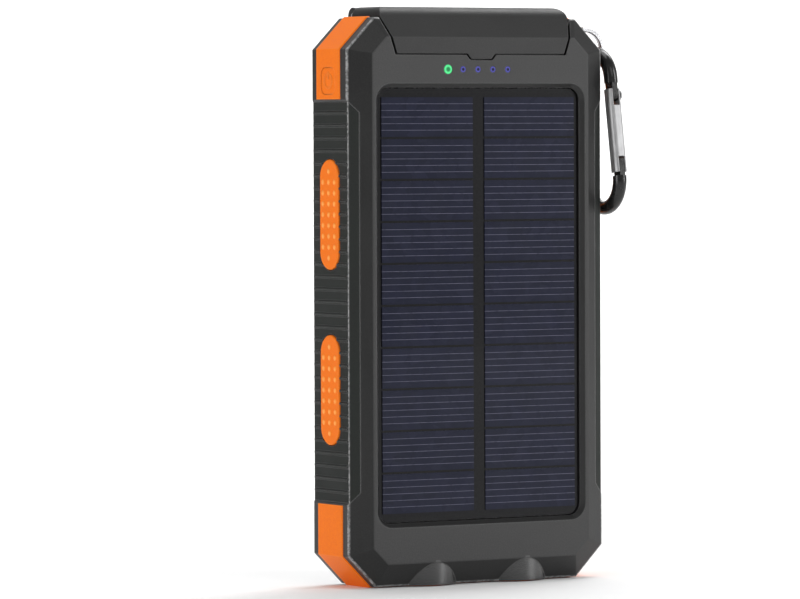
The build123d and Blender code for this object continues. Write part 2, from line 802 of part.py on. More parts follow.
def pad_heights():
    """Heights of the pads' middles on one side."""
    return (CASE_MIDDLE - PAD_OFFSET, CASE_MIDDLE + PAD_OFFSET)


def oval(side, z, grow, low, high):
    """An oval post standing out of one side, from |X| low to high."""
    plane = Plane(origin=(side * low, PAD_Y, z), x_dir=(0, 0, 1), z_dir=(side, 0, 0))
    return extrude(plane * SlotOverall(PAD_LENGTH + 2 * grow, PAD_WIDTH + 2 * grow), high - low)


def pad_seats():
    """The oval seats of the pads, for both sides."""
    seats = []
    for side in (1, -1):
        low, high = [
            oval(side, z, PAD_GAP, CASE_HALF_WIDTH - GRIP_SINK - PAD_SINK, CASE_HALF_WIDTH + OVER)
            for z in pad_heights()
        ]
        seats.append(low + high)
    return seats


def grip_pads(side):
    """The two orange dotted pads on one side."""
    root = CASE_HALF_WIDTH - GRIP_SINK - PAD_SINK
    surface = CASE_HALF_WIDTH - GRIP_SINK + PAD_RISE
    pads = []
    for z in pad_heights():
        pad = oval(side, z, 0, root, surface)
        rim = pad.faces().filter_by(Axis.X).sort_by(Axis.X)[-1 if side > 0 else 0]
        pad = chamfer(rim.edges(), PAD_CHAMFER)
        pads.append(pad + [dot(side, surface, y, dot_z) for y, dot_z in dot_places(z)])
    return pads


def dot(side, surface, y, z):
    """One raised dot: the cap of a ball that stands out of a pad."""
    latitude = degrees(asin(1 - 2 * DOT_RISE / DOT_SPHERE))
    cap = Sphere(DOT_SPHERE, latitude, 90, align=None)
    return Pos(side * (surface + DOT_RISE - DOT_SPHERE), y, z) * Rot(0, side * 90, 0) * cap


def dot_places(z):
    """(y, z) of each dot on a pad: three columns, and one dot at each end."""
    half = (DOT_ROWS - 1) / 2
    places = []
    for row in range(DOT_ROWS):
        offset = (row - half) * DOT_ROW_PITCH
        columns = (0,) if row in (0, DOT_ROWS - 1) else (-1, 0, 1)
        places += [(PAD_Y + column * DOT_COLUMN_PITCH, z + offset) for column in columns]
    return places


def soften(band, front):
    """Chamfer an orange piece along its outer front and back edges."""
    edges = [
        edge
        for edge in band.edges()
        if edge.center().Y in (front, BAND_BACK) and is_outside(edge.center())
    ]
    return chamfer(edges, BAND_CHAMFER)


def corner_guards():
    """The orange guards over the two top corners, the left one with the key's opening."""
    layer = envelope(-PROUD) - envelope(LAYER)
    right, left = [soften(layer & zone, GUARD_FRONT) for zone in guard_zone()]
    right -= ring_pocket() + strap_bar()
    inner = CASE_HALF_WIDTH - LAYER - OVER
    left -= key_block(KEY_SIZE + 2 * KEY_GAP, KEY_CORNER + KEY_GAP, inner, BEYOND)
    flange_room = KEY_FLANGE + 2 * KEY_FLANGE_GAP
    left -= key_block(flange_room, KEY_CORNER + 2 * KEY_FLANGE_GAP, inner, KEY_FLANGE_OUT + KEY_REST)
    return left, right


def is_outside(point):
    """Whether a point lies on the proud outer surface of the edge."""
    reach = CASE_HALF_WIDTH + PROUD - NEAR
    on_side = abs(point.X) > reach
    on_end = point.Z > CASE_TOP + PROUD - NEAR or point.Z < CASE_BOTTOM - PROUD + NEAR
    across_top = abs(point.X) + point.Z > CASE_HALF_WIDTH + CASE_TOP - CORNER
    across_low = abs(point.X) - point.Z > CASE_HALF_WIDTH - CASE_BOTTOM - CORNER
    return on_side or on_end or across_top or across_low


def bottom_bumper():
    """The orange band round the torch end, with both torch bezels in it."""
    band = soften((envelope(-PROUD) - envelope(LAYER)) & bumper_zone(), BUMPER_FRONT)
    for x in torch_axes():
        bezel = rod((x, 0, 0), (x, 0, BEZEL_TOP), BEZEL_RADIUS)
        rim = bezel.faces().sort_by(Axis.Z)[0]
        band += chamfer(rim.edges(), BAND_CHAMFER)
    return band - bezel_discs(BEZEL_OPENING, -OVER, BEZEL_TOP + OVER)


# ---------------------------------------------------------------- power key
def key_block(size, corner, inner, outer):
    """A square post with round corners on the -X side, from |X| inner to outer."""
    plane = Plane(origin=(-inner, KEY_Y, KEY_Z), x_dir=(0, 1, 0), z_dir=(-1, 0, 0))
    return extrude(plane * RectangleRounded(size, size, corner), outer - inner)


def power_button():
    """The power key with its flange, stem and raised power symbol."""
    key = key_block(KEY_SIZE, KEY_CORNER, KEY_FLANGE_IN, KEY_FACE)
    key += key_block(KEY_FLANGE, KEY_CORNER, KEY_FLANGE_IN, KEY_FLANGE_OUT)
    stem_end = SWITCH_PLUNGER_END + SWITCH_GAP
    key += rod((-KEY_FLANGE_IN, KEY_Y, KEY_Z), (-stem_end, KEY_Y, KEY_Z), KEY_STEM_RADIUS)
    face = Plane(origin=(-KEY_FACE + ICON_SINK, KEY_Y, KEY_Z), x_dir=(0, -1, 0), z_dir=(-1, 0, 0))
    circle = Circle(ICON_RADIUS + ICON_LINE / 2) - Circle(ICON_RADIUS - ICON_LINE / 2)
    circle -= Pos(0, ICON_RADIUS) * Rectangle(ICON_NOTCH, ICON_NOTCH)
    stroke = Pos(0, ICON_RADIUS * 3 / 4) * Rectangle(ICON_LINE, ICON_NOTCH)
    height = CASE_HALF_WIDTH + PROUD - KEY_FACE + ICON_SINK
    return key + extrude(face * circle, height) + extrude(face * stroke, height)


def tactile_switch():
    """The little switch behind the key, and its plunger."""
    height = (KEY_Z - SWITCH_HALF, KEY_Z + SWITCH_HALF)
    body = block((-SWITCH_FACE, -SWITCH_FACE + SWITCH_DEPTH), (PCB_BACK, SWITCH_BACK), height)
    bore = SWITCH_PLUNGER_RADIUS + RUNNING_FIT
    body -= rod((-SWITCH_BORE_END, KEY_Y, KEY_Z), (-SWITCH_FACE - OVER, KEY_Y, KEY_Z), bore)
    plunger_start = (-SWITCH_PLUNGER_START, KEY_Y, KEY_Z)
    plunger = rod(plunger_start, (-SWITCH_PLUNGER_END, KEY_Y, KEY_Z), SWITCH_PLUNGER_RADIUS)
    return body, plunger


# ---------------------------------------------------------------- solar panel
def panel_frame(width, height, inset, depth):
    """A rounded sheet behind the panel, set in from its edge."""
    size = (width - 2 * inset, height - 2 * inset)
    return rounded_plate_y(*size, ADHESIVE_CORNER, (0, PANEL_MIDDLE), *depth)


def solar_panel():
    """The panel's board, its cells and the adhesive frame behind it."""
    width = WINDOW_WIDTH - 2 * BOARD_GAP
    height = WINDOW_HEIGHT - 2 * BOARD_GAP
    centre = (0, PANEL_MIDDLE)
    board = rounded_plate_y(width, height, WINDOW_CORNER - BOARD_GAP, centre, BOARD_FRONT, BOARD_BACK)
    adhesive = panel_frame(width, height, ADHESIVE_INSET, (BOARD_BACK, TRAY_FLOOR_FRONT))
    adhesive -= panel_frame(
        width, height, ADHESIVE_INSET + ADHESIVE_BAND, (BOARD_BACK - OVER, TRAY_FLOOR_FRONT + OVER)
    )
    cells = []
    for column in range(CELL_COLUMNS):
        x = (column - (CELL_COLUMNS - 1) / 2) * CELL_COLUMN_PITCH
        for row in range(CELL_ROWS):
            z = PANEL_MIDDLE + (row - (CELL_ROWS - 1) / 2) * CELL_ROW_PITCH
            cells.append(
                block(
                    (x - CELL_WIDTH / 2, x + CELL_WIDTH / 2),
                    (BOARD_FRONT - CELL_THICKNESS, BOARD_FRONT),
                    (z - CELL_HEIGHT / 2, z + CELL_HEIGHT / 2),
                )
            )
    return board, adhesive, cells


# ---------------------------------------------------------------- status lights
def light_pipes():
    """The clear pins that carry each status light to the front face."""
    pipes = []
    for place, x in enumerate(light_positions()):
        radius = light_radius(place)
        pipe = rod((x, FACE_FRONT - LIGHT_RISE, LIGHT_Z), (x, CAVITY_FRONT, LIGHT_Z), radius)
        front = pipe.faces().sort_by(Axis.Y)[0]
        pipe = chamfer(front.edges(), LIGHT_CHAMFER)
        flange = rod((x, CAVITY_FRONT, LIGHT_Z), (x, LIGHT_PIPE_BACK, LIGHT_Z), radius + LIGHT_FLANGE)
        pipes.append(pipe + flange)
    return pipes


def status_leds():
    """The small lamps on the circuit board behind the light pipes."""
    half_x, half_z = LED_HALF
    height = (LIGHT_Z - half_z, LIGHT_Z + half_z)
    depth = (PCB_FRONT - LED_HEIGHT, PCB_FRONT)
    return [block((x - half_x, x + half_x), depth, height) for x in light_positions()]


# ---------------------------------------------------------------- circuit board and ports
def main_board():
    """The circuit board, narrower between the upper screw bosses."""
    points = [
        (-PCB_HALF_WIDE, PCB_LOW),
        (PCB_HALF_WIDE, PCB_LOW),
        (PCB_HALF_WIDE, PCB_SHOULDER),
        (PCB_HALF_NARROW, PCB_SHOULDER),
        (PCB_HALF_NARROW, PCB_HIGH),
        (-PCB_HALF_NARROW, PCB_HIGH),
        (-PCB_HALF_NARROW, PCB_SHOULDER),
        (-PCB_HALF_WIDE, PCB_SHOULDER),
    ]
    return plate_y(points, PCB_FRONT, PCB_BACK)


def board_chips():
    """The charging chips and the protection chip on the back of the board."""
    chips = []
    places = (
        (-CHIP_X, CHIP_Z, CHARGE_CHIP),
        (CHIP_X, CHIP_Z, BOOST_CHIP),
        (0, GUARD_CHIP_Z, GUARD_CHIP),
    )
    for x, z, (width, height) in places:
        chips.append(
            block(
                (x - width / 2, x + width / 2),
                (PCB_BACK, PCB_BACK + CHIP_HEIGHT),
                (z - height / 2, z + height / 2),
            )
        )
    return chips


def power_inductors():
    """The two boost coils, each a low square block with a round top."""
    coils = []
    for x in (-COIL_X, COIL_X):
        base = block(
            (x - COIL_HALF, x + COIL_HALF),
            (PCB_BACK, PCB_BACK + COIL_BASE),
            (COIL_Z - COIL_HALF, COIL_Z + COIL_HALF),
        )
        top = rod((x, PCB_BACK + COIL_BASE - NEAR, COIL_Z), (x, PCB_BACK + COIL_TOP, COIL_Z), COIL_RADIUS)
        coils.append(base + top)
    return coils


def port_size_block(size, x, low, high, grow=0.0):
    """The outside of a port, standing on the back of the circuit board."""
    width, depth, _ = size
    return block(
        (x - width / 2 - grow, x + width / 2 + grow),
        (PCB_BACK - grow, PCB_BACK + depth + grow),
        (low, high),
    )


def port_frame_blank():
    """The outside of the plate that frames the ports."""
    return block(
        (-PORT_FRAME_HALF, PORT_FRAME_HALF),
        (PORT_FRAME_FRONT, PORT_FRAME_BACK),
        (PORT_FRAME_LOW, PORT_MOUTH),
    )


def port_frame():
    """The plate that frames the ports."""
    frame = port_frame_blank()
    for x in (-USB_X, USB_X):
        frame -= port_size_block(USB_OUTER, x, PORT_FRAME_LOW - OVER, PORT_MOUTH + OVER, PORT_GAP)
    return frame - port_size_block(MICRO_OUTER, 0, PORT_FRAME_LOW - OVER, PORT_MOUTH + OVER, PORT_GAP)


def hollow_port(size, wall, x):
    """A port's metal can, open at its mouth."""
    width, depth, length = size
    can = port_size_block(size, x, PORT_MOUTH - length, PORT_MOUTH)
    inside = block(
        (x - width / 2 + wall, x + width / 2 - wall),
        (PCB_BACK + wall, PCB_BACK + depth - wall),
        (PORT_MOUTH - length + wall, PORT_MOUTH + OVER),
    )
    return can - inside


def usb_tongue(x):
    """The plastic tongue inside a USB socket, standing on the can's floor."""
    width, thick = USB_TONGUE
    floor = PORT_MOUTH - USB_OUTER[2] + USB_WALL
    top = PORT_MOUTH - USB_TONGUE_RECESS
    front = PCB_BACK + USB_WALL + USB_TONGUE_SEAT
    root = floor + USB_TONGUE_BASE - NEAR
    tongue = block((x - width / 2, x + width / 2), (front, front + thick), (root, top))
    half_inside = USB_OUTER[0] / 2 - USB_WALL
    base = block(
        (x - half_inside, x + half_inside),
        (PCB_BACK + USB_WALL, PCB_BACK + USB_OUTER[1] - USB_WALL),
        (floor, floor + USB_TONGUE_BASE),
    )
    return tongue + base


def usb_contacts(x):
    """The four gilded strips on a USB tongue."""
    _, thick = USB_TONGUE
    back = PCB_BACK + USB_WALL + USB_TONGUE_SEAT + thick
    top = PORT_MOUTH - USB_TONGUE_RECESS - USB_CONTACT_TIP
    depth = (back, back + USB_CONTACT_SHEET)
    height = (top - USB_CONTACT_LENGTH, top)
    strips = []
    for place in range(USB_CONTACTS):
        middle = x + (place - (USB_CONTACTS - 1) / 2) * USB_CONTACT_PITCH
        strips.append(block((middle - USB_CONTACT_HALF, middle + USB_CONTACT_HALF), depth, height))
    return strips


def micro_tongue():
    """The tongue of the micro charging socket."""
    floor = PORT_MOUTH - MICRO_OUTER[2] + MICRO_WALL
    front = PCB_BACK + MICRO_WALL + MICRO_TONGUE_SEAT
    width, thick = MICRO_TONGUE
    return block(
        (-width / 2, width / 2), (front, front + thick), (floor, PORT_MOUTH - MICRO_TONGUE_RECESS)
    )


# ---------------------------------------------------------------- battery
def batteries():
    """Two pouch cells, the foam between them and the tabs that meet the board."""
    width = (-BATTERY_HALF_WIDTH, BATTERY_HALF_WIDTH)
    height = (BATTERY_LOW, BATTERY_HIGH)
    front_back = BATTERY_FRONT + BATTERY_THICKNESS
    rear_front = front_back + BATTERY_PAD
    front_cell = block(width, (BATTERY_FRONT, front_back), height)
    rear_cell = block(width, (rear_front, rear_front + BATTERY_THICKNESS), height)
    front_cell = fillet(front_cell.edges().filter_by(Axis.Z), BATTERY_ROUND)
    rear_cell = fillet(rear_cell.edges().filter_by(Axis.Z), BATTERY_ROUND)
    foam_half = BATTERY_HALF_WIDTH - FOAM_SIDE_INSET
    foam_height = (BATTERY_LOW + FOAM_END_INSET, BATTERY_HIGH - FOAM_END_INSET)
    foam = block((-foam_half, foam_half), (front_back, rear_front), foam_height)
    tabs = []
    for x in (-BATTERY_TAB_X, BATTERY_TAB_X):
        tabs.append(
            block(
                (x - BATTERY_TAB_HALF, x + BATTERY_TAB_HALF),
                (PCB_FRONT - BATTERY_TAB_SHEET, PCB_FRONT),
                (BATTERY_HIGH, PCB_LOW + FRONT_TAB_REACH),
            )
        )
        tabs.append(rear_tab(x + REAR_TAB_SHIFT, rear_front + OVER))
    return front_cell, rear_cell, foam, tabs


def rear_tab(x, front):
    """The rear cell's tab: up, forward to the board, and up its back face."""
    sheet = BATTERY_TAB_SHEET
    step = BATTERY_HIGH + REAR_TAB_STEP
    width = (x - BATTERY_TAB_HALF, x + BATTERY_TAB_HALF)
    tab = block(width, (front, front + sheet), (BATTERY_HIGH, step + sheet))
    tab += block(width, (PCB_BACK, front + sheet), (step, step + sheet))
    return tab + block(width, (PCB_BACK, PCB_BACK + sheet), (step, PCB_LOW + REAR_TAB_REACH))


# ---------------------------------------------------------------- torch
def torch_lenses():
    """The two clear windows of the torches."""
    lenses = []
    for x in torch_axes():
        lens = rod((x, 0, LENS_LOW), (x, 0, LENS_HIGH), LENS_RADIUS)
        lenses.append(chamfer(lens.faces().sort_by(Axis.Z)[0].edges(), LENS_CHAMFER))
    return lenses


def torch_reflectors():
    """The two conical reflectors, each with a rim that sits behind the bumper's bezel."""
    reflectors = []
    for x in torch_axes():
        length = REFLECTOR_TOP - LENS_HIGH
        middle = (REFLECTOR_TOP + LENS_HIGH) / 2
        wall = Pos(x, 0, middle) * Cone(LENS_RADIUS, REFLECTOR_THROAT + REFLECTOR_WALL, length)
        inside = Pos(x, 0, middle) * Cone(LENS_RADIUS - REFLECTOR_WALL, REFLECTOR_THROAT, length)
        rim = rod((x, 0, BEZEL_TOP), (x, 0, CAVITY_LOW), REFLECTOR_RIM)
        reflectors.append((wall + rim) - inside)
    return reflectors


def torch_board():
    """The board that carries both torch LEDs."""
    half_x, half_y = TORCH_BOARD_HALF
    return block((-half_x, half_x), (-half_y, half_y), (TORCH_BOARD_LOW, TORCH_BOARD_HIGH))


def torch_emitters():
    """The two torch LEDs: a square base with a dome that faces down."""
    emitters = []
    for x in torch_axes():
        seat = TORCH_BOARD_LOW - EMITTER_BASE
        base = block(
            (x - EMITTER_HALF, x + EMITTER_HALF), (-EMITTER_HALF, EMITTER_HALF), (seat, TORCH_BOARD_LOW)
        )
        dome = Pos(x, 0, seat) * Sphere(EMITTER_DOME)
        dome &= block((-BEYOND, BEYOND), (-BEYOND, BEYOND), (0, seat + NEAR))
        emitters.append(base + dome)
    return emitters


# ---------------------------------------------------------------- compass
def compass_plate():
    """The raised plate on the back, with the hinge ears and the compass opening."""
    plate = compass_block(0, PLATE_SEAT, PLATE_BACK)
    top_face = plate.faces().sort_by(Axis.Y)[-1]
    rim = [edge for edge in top_face.edges() if edge.center().Z < PLATE_TOP - NEAR]
    plate = chamfer(rim, PLATE_CHAMFER)
    plate += ears()
    plate -= rod((0, 0, COMPASS_Z), (0, BEYOND, COMPASS_Z), COMPASS_RECESS_RADIUS)
    return plate - rod((-BEYOND, HINGE_Y, HINGE_Z), (BEYOND, HINGE_Y, HINGE_Z), PIN_RADIUS)


def compass_cup():
    """The compass housing: a cup with the needle's pivot standing in it."""
    cup = rod((0, COMPASS_CUP_FLOOR, COMPASS_Z), (0, COMPASS_LENS_BACK, COMPASS_Z), COMPASS_CUP_RADIUS)
    inner = COMPASS_CUP_RADIUS - COMPASS_CUP_WALL
    floor = COMPASS_CUP_FLOOR + COMPASS_CUP_WALL
    cup -= rod((0, floor, COMPASS_Z), (0, COMPASS_LENS_BACK + OVER, COMPASS_Z), inner)
    collar = rod((0, PLATE_SEAT, COMPASS_Z), (0, COMPASS_LENS_BACK, COMPASS_Z), COMPASS_RECESS_RADIUS)
    collar -= rod((0, 0, COMPASS_Z), (0, BEYOND, COMPASS_Z), inner)
    collar_rim = collar.faces().filter_by(Axis.Y).sort_by(Axis.Y)[-1]
    collar = chamfer(collar_rim.edges(), COLLAR_CHAMFER)
    return cup + collar


def compass_pivot():
    """The pin that the compass card turns on."""
    floor = COMPASS_CUP_FLOOR + COMPASS_CUP_WALL
    tip = CARD_FRONT + CARD_THICKNESS + PIVOT_TIP
    pin = rod((0, floor, COMPASS_Z), (0, tip, COMPASS_Z), PIVOT_RADIUS)
    return pin + rod((0, floor, COMPASS_Z), (0, floor + PIVOT_FOOT, COMPASS_Z), PIVOT_FOOT_RADIUS)


def compass_card():
    """The printed disc with its magnet bar below."""
    card = rod((0, CARD_FRONT, COMPASS_Z), (0, CARD_FRONT + CARD_THICKNESS, COMPASS_Z), CARD_RADIUS)
    half_x, half_z = MAGNET_HALF
    depth = (CARD_FRONT - MAGNET_THICKNESS, CARD_FRONT)
    card += block((-half_x, half_x), depth, (COMPASS_Z - half_z, COMPASS_Z + half_z))
    bore = PIVOT_RADIUS + RUNNING_FIT
    return card - rod((0, 0, COMPASS_Z), (0, BEYOND, COMPASS_Z), bore)


def compass_lens():
    """The clear disc over the compass."""
    back = COMPASS_LENS_BACK - COMPASS_LENS_SINK
    radius = COMPASS_CUP_RADIUS - COMPASS_CUP_WALL
    lens = rod((0, back - COMPASS_LENS_THICKNESS, COMPASS_Z), (0, back, COMPASS_Z), radius)
    return chamfer(lens.faces().sort_by(Axis.Y)[-1].edges(), LENS_CHAMFER)


# ---------------------------------------------------------------- flap
def port_flap():
    """The rubbery cover over the ports: lip, bevel, rolled top and hinge barrel."""
    corner_y = bevel_y(FLAP_TOP, 0)
    section = [
        (FACE_FRONT, FLAP_LIP_LOW - TAB_DROP),
        (FACE_FRONT, CASE_TOP - BEVEL_TOP),
        (corner_y, FLAP_TOP),
        (HINGE_Y, FLAP_TOP),
        (HINGE_Y, FLAP_UNDER),
        (bevel_y(FLAP_UNDER, FLAP_WALL), FLAP_UNDER),
        (FACE_FRONT + FLAP_WALL, CASE_TOP - BEVEL_TOP),
        (FACE_FRONT + FLAP_WALL, FLAP_LIP_LOW - TAB_DROP),
    ]
    flap = plate_x(section, -BEYOND / 2, BEYOND / 2)
    roll = [
        edge
        for edge in flap.edges().filter_by(Axis.X)
        if edge.center().Z > FLAP_TOP - NEAR and edge.center().Y < 0
    ]
    flap = fillet(roll, FLAP_ROLL)
    lip_left, lip_right, side_right, _, _, side_left = flap_outline(0, 0)
    top_right = (FLAP_HALF_TOP, FLAP_TOP)
    top_left = (-FLAP_HALF_TOP, FLAP_TOP)
    outline = plate_y(
        [lip_left, lip_right, side_right, top_right, top_left, side_left], FACE_FRONT - OVER, BEYOND
    )
    shoulders = [
        edge for edge in outline.edges().filter_by(Axis.Y) if edge.center().Z > FLAP_TOP - NEAR
    ]
    outline = fillet(shoulders, FLAP_END_ROUND)
    flap &= outline + plate_y(tab_outline(0), FACE_FRONT - OVER, 0)
    ear_room = HINGE_Y - BARREL_RADIUS - BARREL_GAP
    for side in (-1, 1):
        outer = sorted((side * BARREL_HALF, side * BEYOND))
        flap -= block(outer, (ear_room, BEYOND), (0, ABOVE))
    flap += rod((-BARREL_HALF, HINGE_Y, HINGE_Z), (BARREL_HALF, HINGE_Y, HINGE_Z), BARREL_RADIUS)
    bore = PIN_RADIUS + RUNNING_FIT
    return flap - rod((-BEYOND, HINGE_Y, HINGE_Z), (BEYOND, HINGE_Y, HINGE_Z), bore)


def port_plugs():
    """The soft plugs under the flap that close each port."""
    plugs = []
    middle = PCB_BACK + USB_OUTER[1] / 2
    half_x, half_y = USB_PLUG_HALF
    for x in (-USB_X, USB_X):
        depth = (middle - half_y, middle + half_y)
        plugs.append(block((x - half_x, x + half_x), depth, (PORT_MOUTH - PLUG_DEPTH, FLAP_UNDER)))
    middle = PCB_BACK + MICRO_OUTER[1] / 2 + MICRO_PLUG_SHIFT
    half_x, half_y = MICRO_PLUG_HALF
    depth = (middle - half_y, middle + half_y)
    plugs.append(block((-half_x, half_x), depth, (PORT_MOUTH - MICRO_PLUG_DEPTH, FLAP_UNDER)))
    return plugs


# ---------------------------------------------------------------- screws
def case_screws():
    """The four pan-head screws that join the shells."""
    screws = []
    for x, z in screw_axes():
        shank = rod((x, SCREW_TIP, z), (x, SCREW_HEAD_SEAT, z), SCREW_RADIUS)
        head = rod((x, SCREW_HEAD_SEAT, z), (x, SCREW_HEAD_BACK, z), SCREW_HEAD_RADIUS)
        depth = (SCREW_HEAD_BACK - CROSS_DEPTH, SCREW_HEAD_BACK + OVER)
        long_x, long_z = (x - CROSS_HALF, x + CROSS_HALF), (z - CROSS_HALF, z + CROSS_HALF)
        thin_x, thin_z = (x - CROSS_WIDTH, x + CROSS_WIDTH), (z - CROSS_WIDTH, z + CROSS_WIDTH)
        cross = block(long_x, depth, thin_z) + block(thin_x, depth, long_z)
        screws.append(shank + head - cross)
    return screws


def screw_caps():
    """The round rubber caps over the screws."""
    caps = []
    for x, z in screw_axes():
        cap = rod((x, CAP_SEAT, z), (x, FACE_BACK - CAP_SINK, z), CAP_RADIUS)
        caps.append(chamfer(cap.faces().sort_by(Axis.Y)[-1].edges(), CAP_CHAMFER))
    return caps


# ---------------------------------------------------------------- ring and snap hook
def split_ring():
    """A two-turn split ring: two flat turns joined at one crossing, each with a cut end."""
    x, z = ring_centre(0)
    ring = None
    for sign in (-1, 1):
        near, far = sorted((sign * RING_TURN_GAP / 2, sign * (RING_TURN_GAP / 2 + RING_TURN)))
        turn = rod((x, near, z), (x, far, z), RING_OUTER)
        turn -= rod((x, near - OVER, z), (x, far + OVER, z), RING_INNER)
        outer_face = turn.faces().filter_by(Axis.Y).sort_by(Axis.Y)[-1 if sign > 0 else 0]
        turn = chamfer(outer_face.edges(), RING_CHAMFER)
        cut_x = x + RING_OUTER * sin(radians(sign * RING_CUT_ANGLE))
        turn -= block(
            (cut_x - RING_CUT_HALF, cut_x + RING_CUT_HALF),
            (near - OVER, far + OVER),
            (z, z + 2 * RING_OUTER),
        )
        ring = turn if ring is None else ring + turn
    crossing = block(
        (x - RING_CROSSING_HALF, x + RING_CROSSING_HALF),
        (-RING_TURN / 2, RING_TURN / 2),
        (z + RING_INNER + NEAR, z + RING_OUTER - NEAR),
    )
    return ring + crossing


def hook_top():
    """The point on the hook's centre line where it passes through the ring."""
    x, z = ring_centre(0)
    angle = radians(HOOK_DROP)
    return x + HOOK_REACH * cos(angle), z - HOOK_REACH * sin(angle)


def hook_plane():
    """The hook's own plane: its X runs to the back, its Y up the hook."""
    x, z = hook_top()
    lean = radians(HOOK_LEAN)
    return Plane(origin=(x, 0, z), x_dir=(0, cos(lean), -sin(lean)), z_dir=(1, 0, 0))


def across(width, length, half, radius):
    """A round bar across the hook's plane at a place given by width and length."""
    centre = hook_plane() * Pos(width, length)
    return extrude(centre * Circle(radius), half, both=True)


def hook_bar(width, length, half):
    """A flat bar in the hook's plane, from its low and high values, thickened to both sides."""
    middle = hook_plane() * Pos(sum(width) / 2, sum(length) / 2)
    return extrude(middle * Rectangle(width[1] - width[0], length[1] - length[0]), half, both=True)


def snap_hook():
    """The hook's body: round rod, the gate's tongue at one end and the latch nose at the other."""
    r = HOOK_RADIUS
    low = -r - HOOK_STRAIGHT
    arm = Line((-r, -ARM_END), (-r, -r))
    top = ThreePointArc((-r, -r), (0, 0), (r, -r))
    spine = Line((r, -r), (r, low))
    bottom = ThreePointArc((r, low), (0, low - r), (-r, low))
    path = hook_plane() * (arm + top + spine + bottom)
    start = hook_plane() * Plane(origin=(-r, -ARM_END, 0), x_dir=(0, 0, 1), z_dir=(0, 1, 0))
    body = sweep(start * Circle(HOOK_ROD), path)
    tongue = hook_bar((-r - TONGUE_WIDTH, -r + TONGUE_WIDTH), (-GATE_PIVOT, -TONGUE_TOP), TONGUE_HALF)
    tongue += across(-r, -GATE_PIVOT, TONGUE_HALF, TONGUE_WIDTH)
    latch = hook_bar((-r - NOSE_WIDTH_OUT, -r + NOSE_WIDTH_IN), (-NOSE_ROOT - JOIN, -NOSE_TIP), TONGUE_HALF)
    notch = across(-r, -GATE_PIN, TONGUE_HALF + OVER, NOTCH_RADIUS)
    mouth = (-GATE_PIN - NOTCH_RADIUS, -GATE_PIN + NOTCH_RADIUS)
    notch += hook_bar((-r, -r + SLOT_REACH), mouth, TONGUE_HALF + OVER)
    body += tongue + (latch - notch)
    return body - across(-r, -GATE_PIVOT, TONGUE_HALF + OVER, RIVET_RADIUS)


def hook_gate():
    """The sprung gate: a bar with a slot at each end."""
    r = HOOK_RADIUS
    section = RectangleRounded(2 * GATE_HALF_W, 2 * GATE_HALF_X, GATE_CORNER)
    start = hook_plane() * Plane(origin=(-r, -GATE_LOW, 0), x_dir=(1, 0, 0), z_dir=(0, 1, 0))
    gate = extrude(start * section, GATE_LOW - GATE_TOP)
    width = (-r - SLOT_REACH, -r + SLOT_REACH)
    for high, low in ((GATE_TOP - OVER, GATE_SLOT_TOP), (GATE_SLOT_LOW, GATE_LOW + OVER)):
        gate -= hook_bar(width, (-low, -high), GATE_SLOT_HALF)
    gate -= across(-r, -GATE_PIVOT, BEYOND, RIVET_RADIUS + RUNNING_FIT)
    return gate - across(-r, -GATE_PIN, BEYOND, LATCH_PIN_RADIUS)


def gate_rivet():
    """The rivet that the gate turns on, flush inside and domed outside."""
    r = HOOK_RADIUS
    shank = across(-r, -GATE_PIVOT, GATE_HALF_X, RIVET_RADIUS)
    face = hook_plane() * Pos(-r, -GATE_PIVOT, GATE_HALF_X)
    neck = extrude(face * Circle(RIVET_RADIUS), 2 * RUNNING_FIT, dir=(1, 0, 0))
    head = extrude(face * Pos(0, 0, 2 * RUNNING_FIT) * Circle(RIVET_HEAD_RADIUS), RIVET_HEAD, dir=(1, 0, 0))
    head = chamfer(head.faces().sort_by(Axis.X)[-1].edges(), RIVET_CHAMFER)
    return shank + neck + head


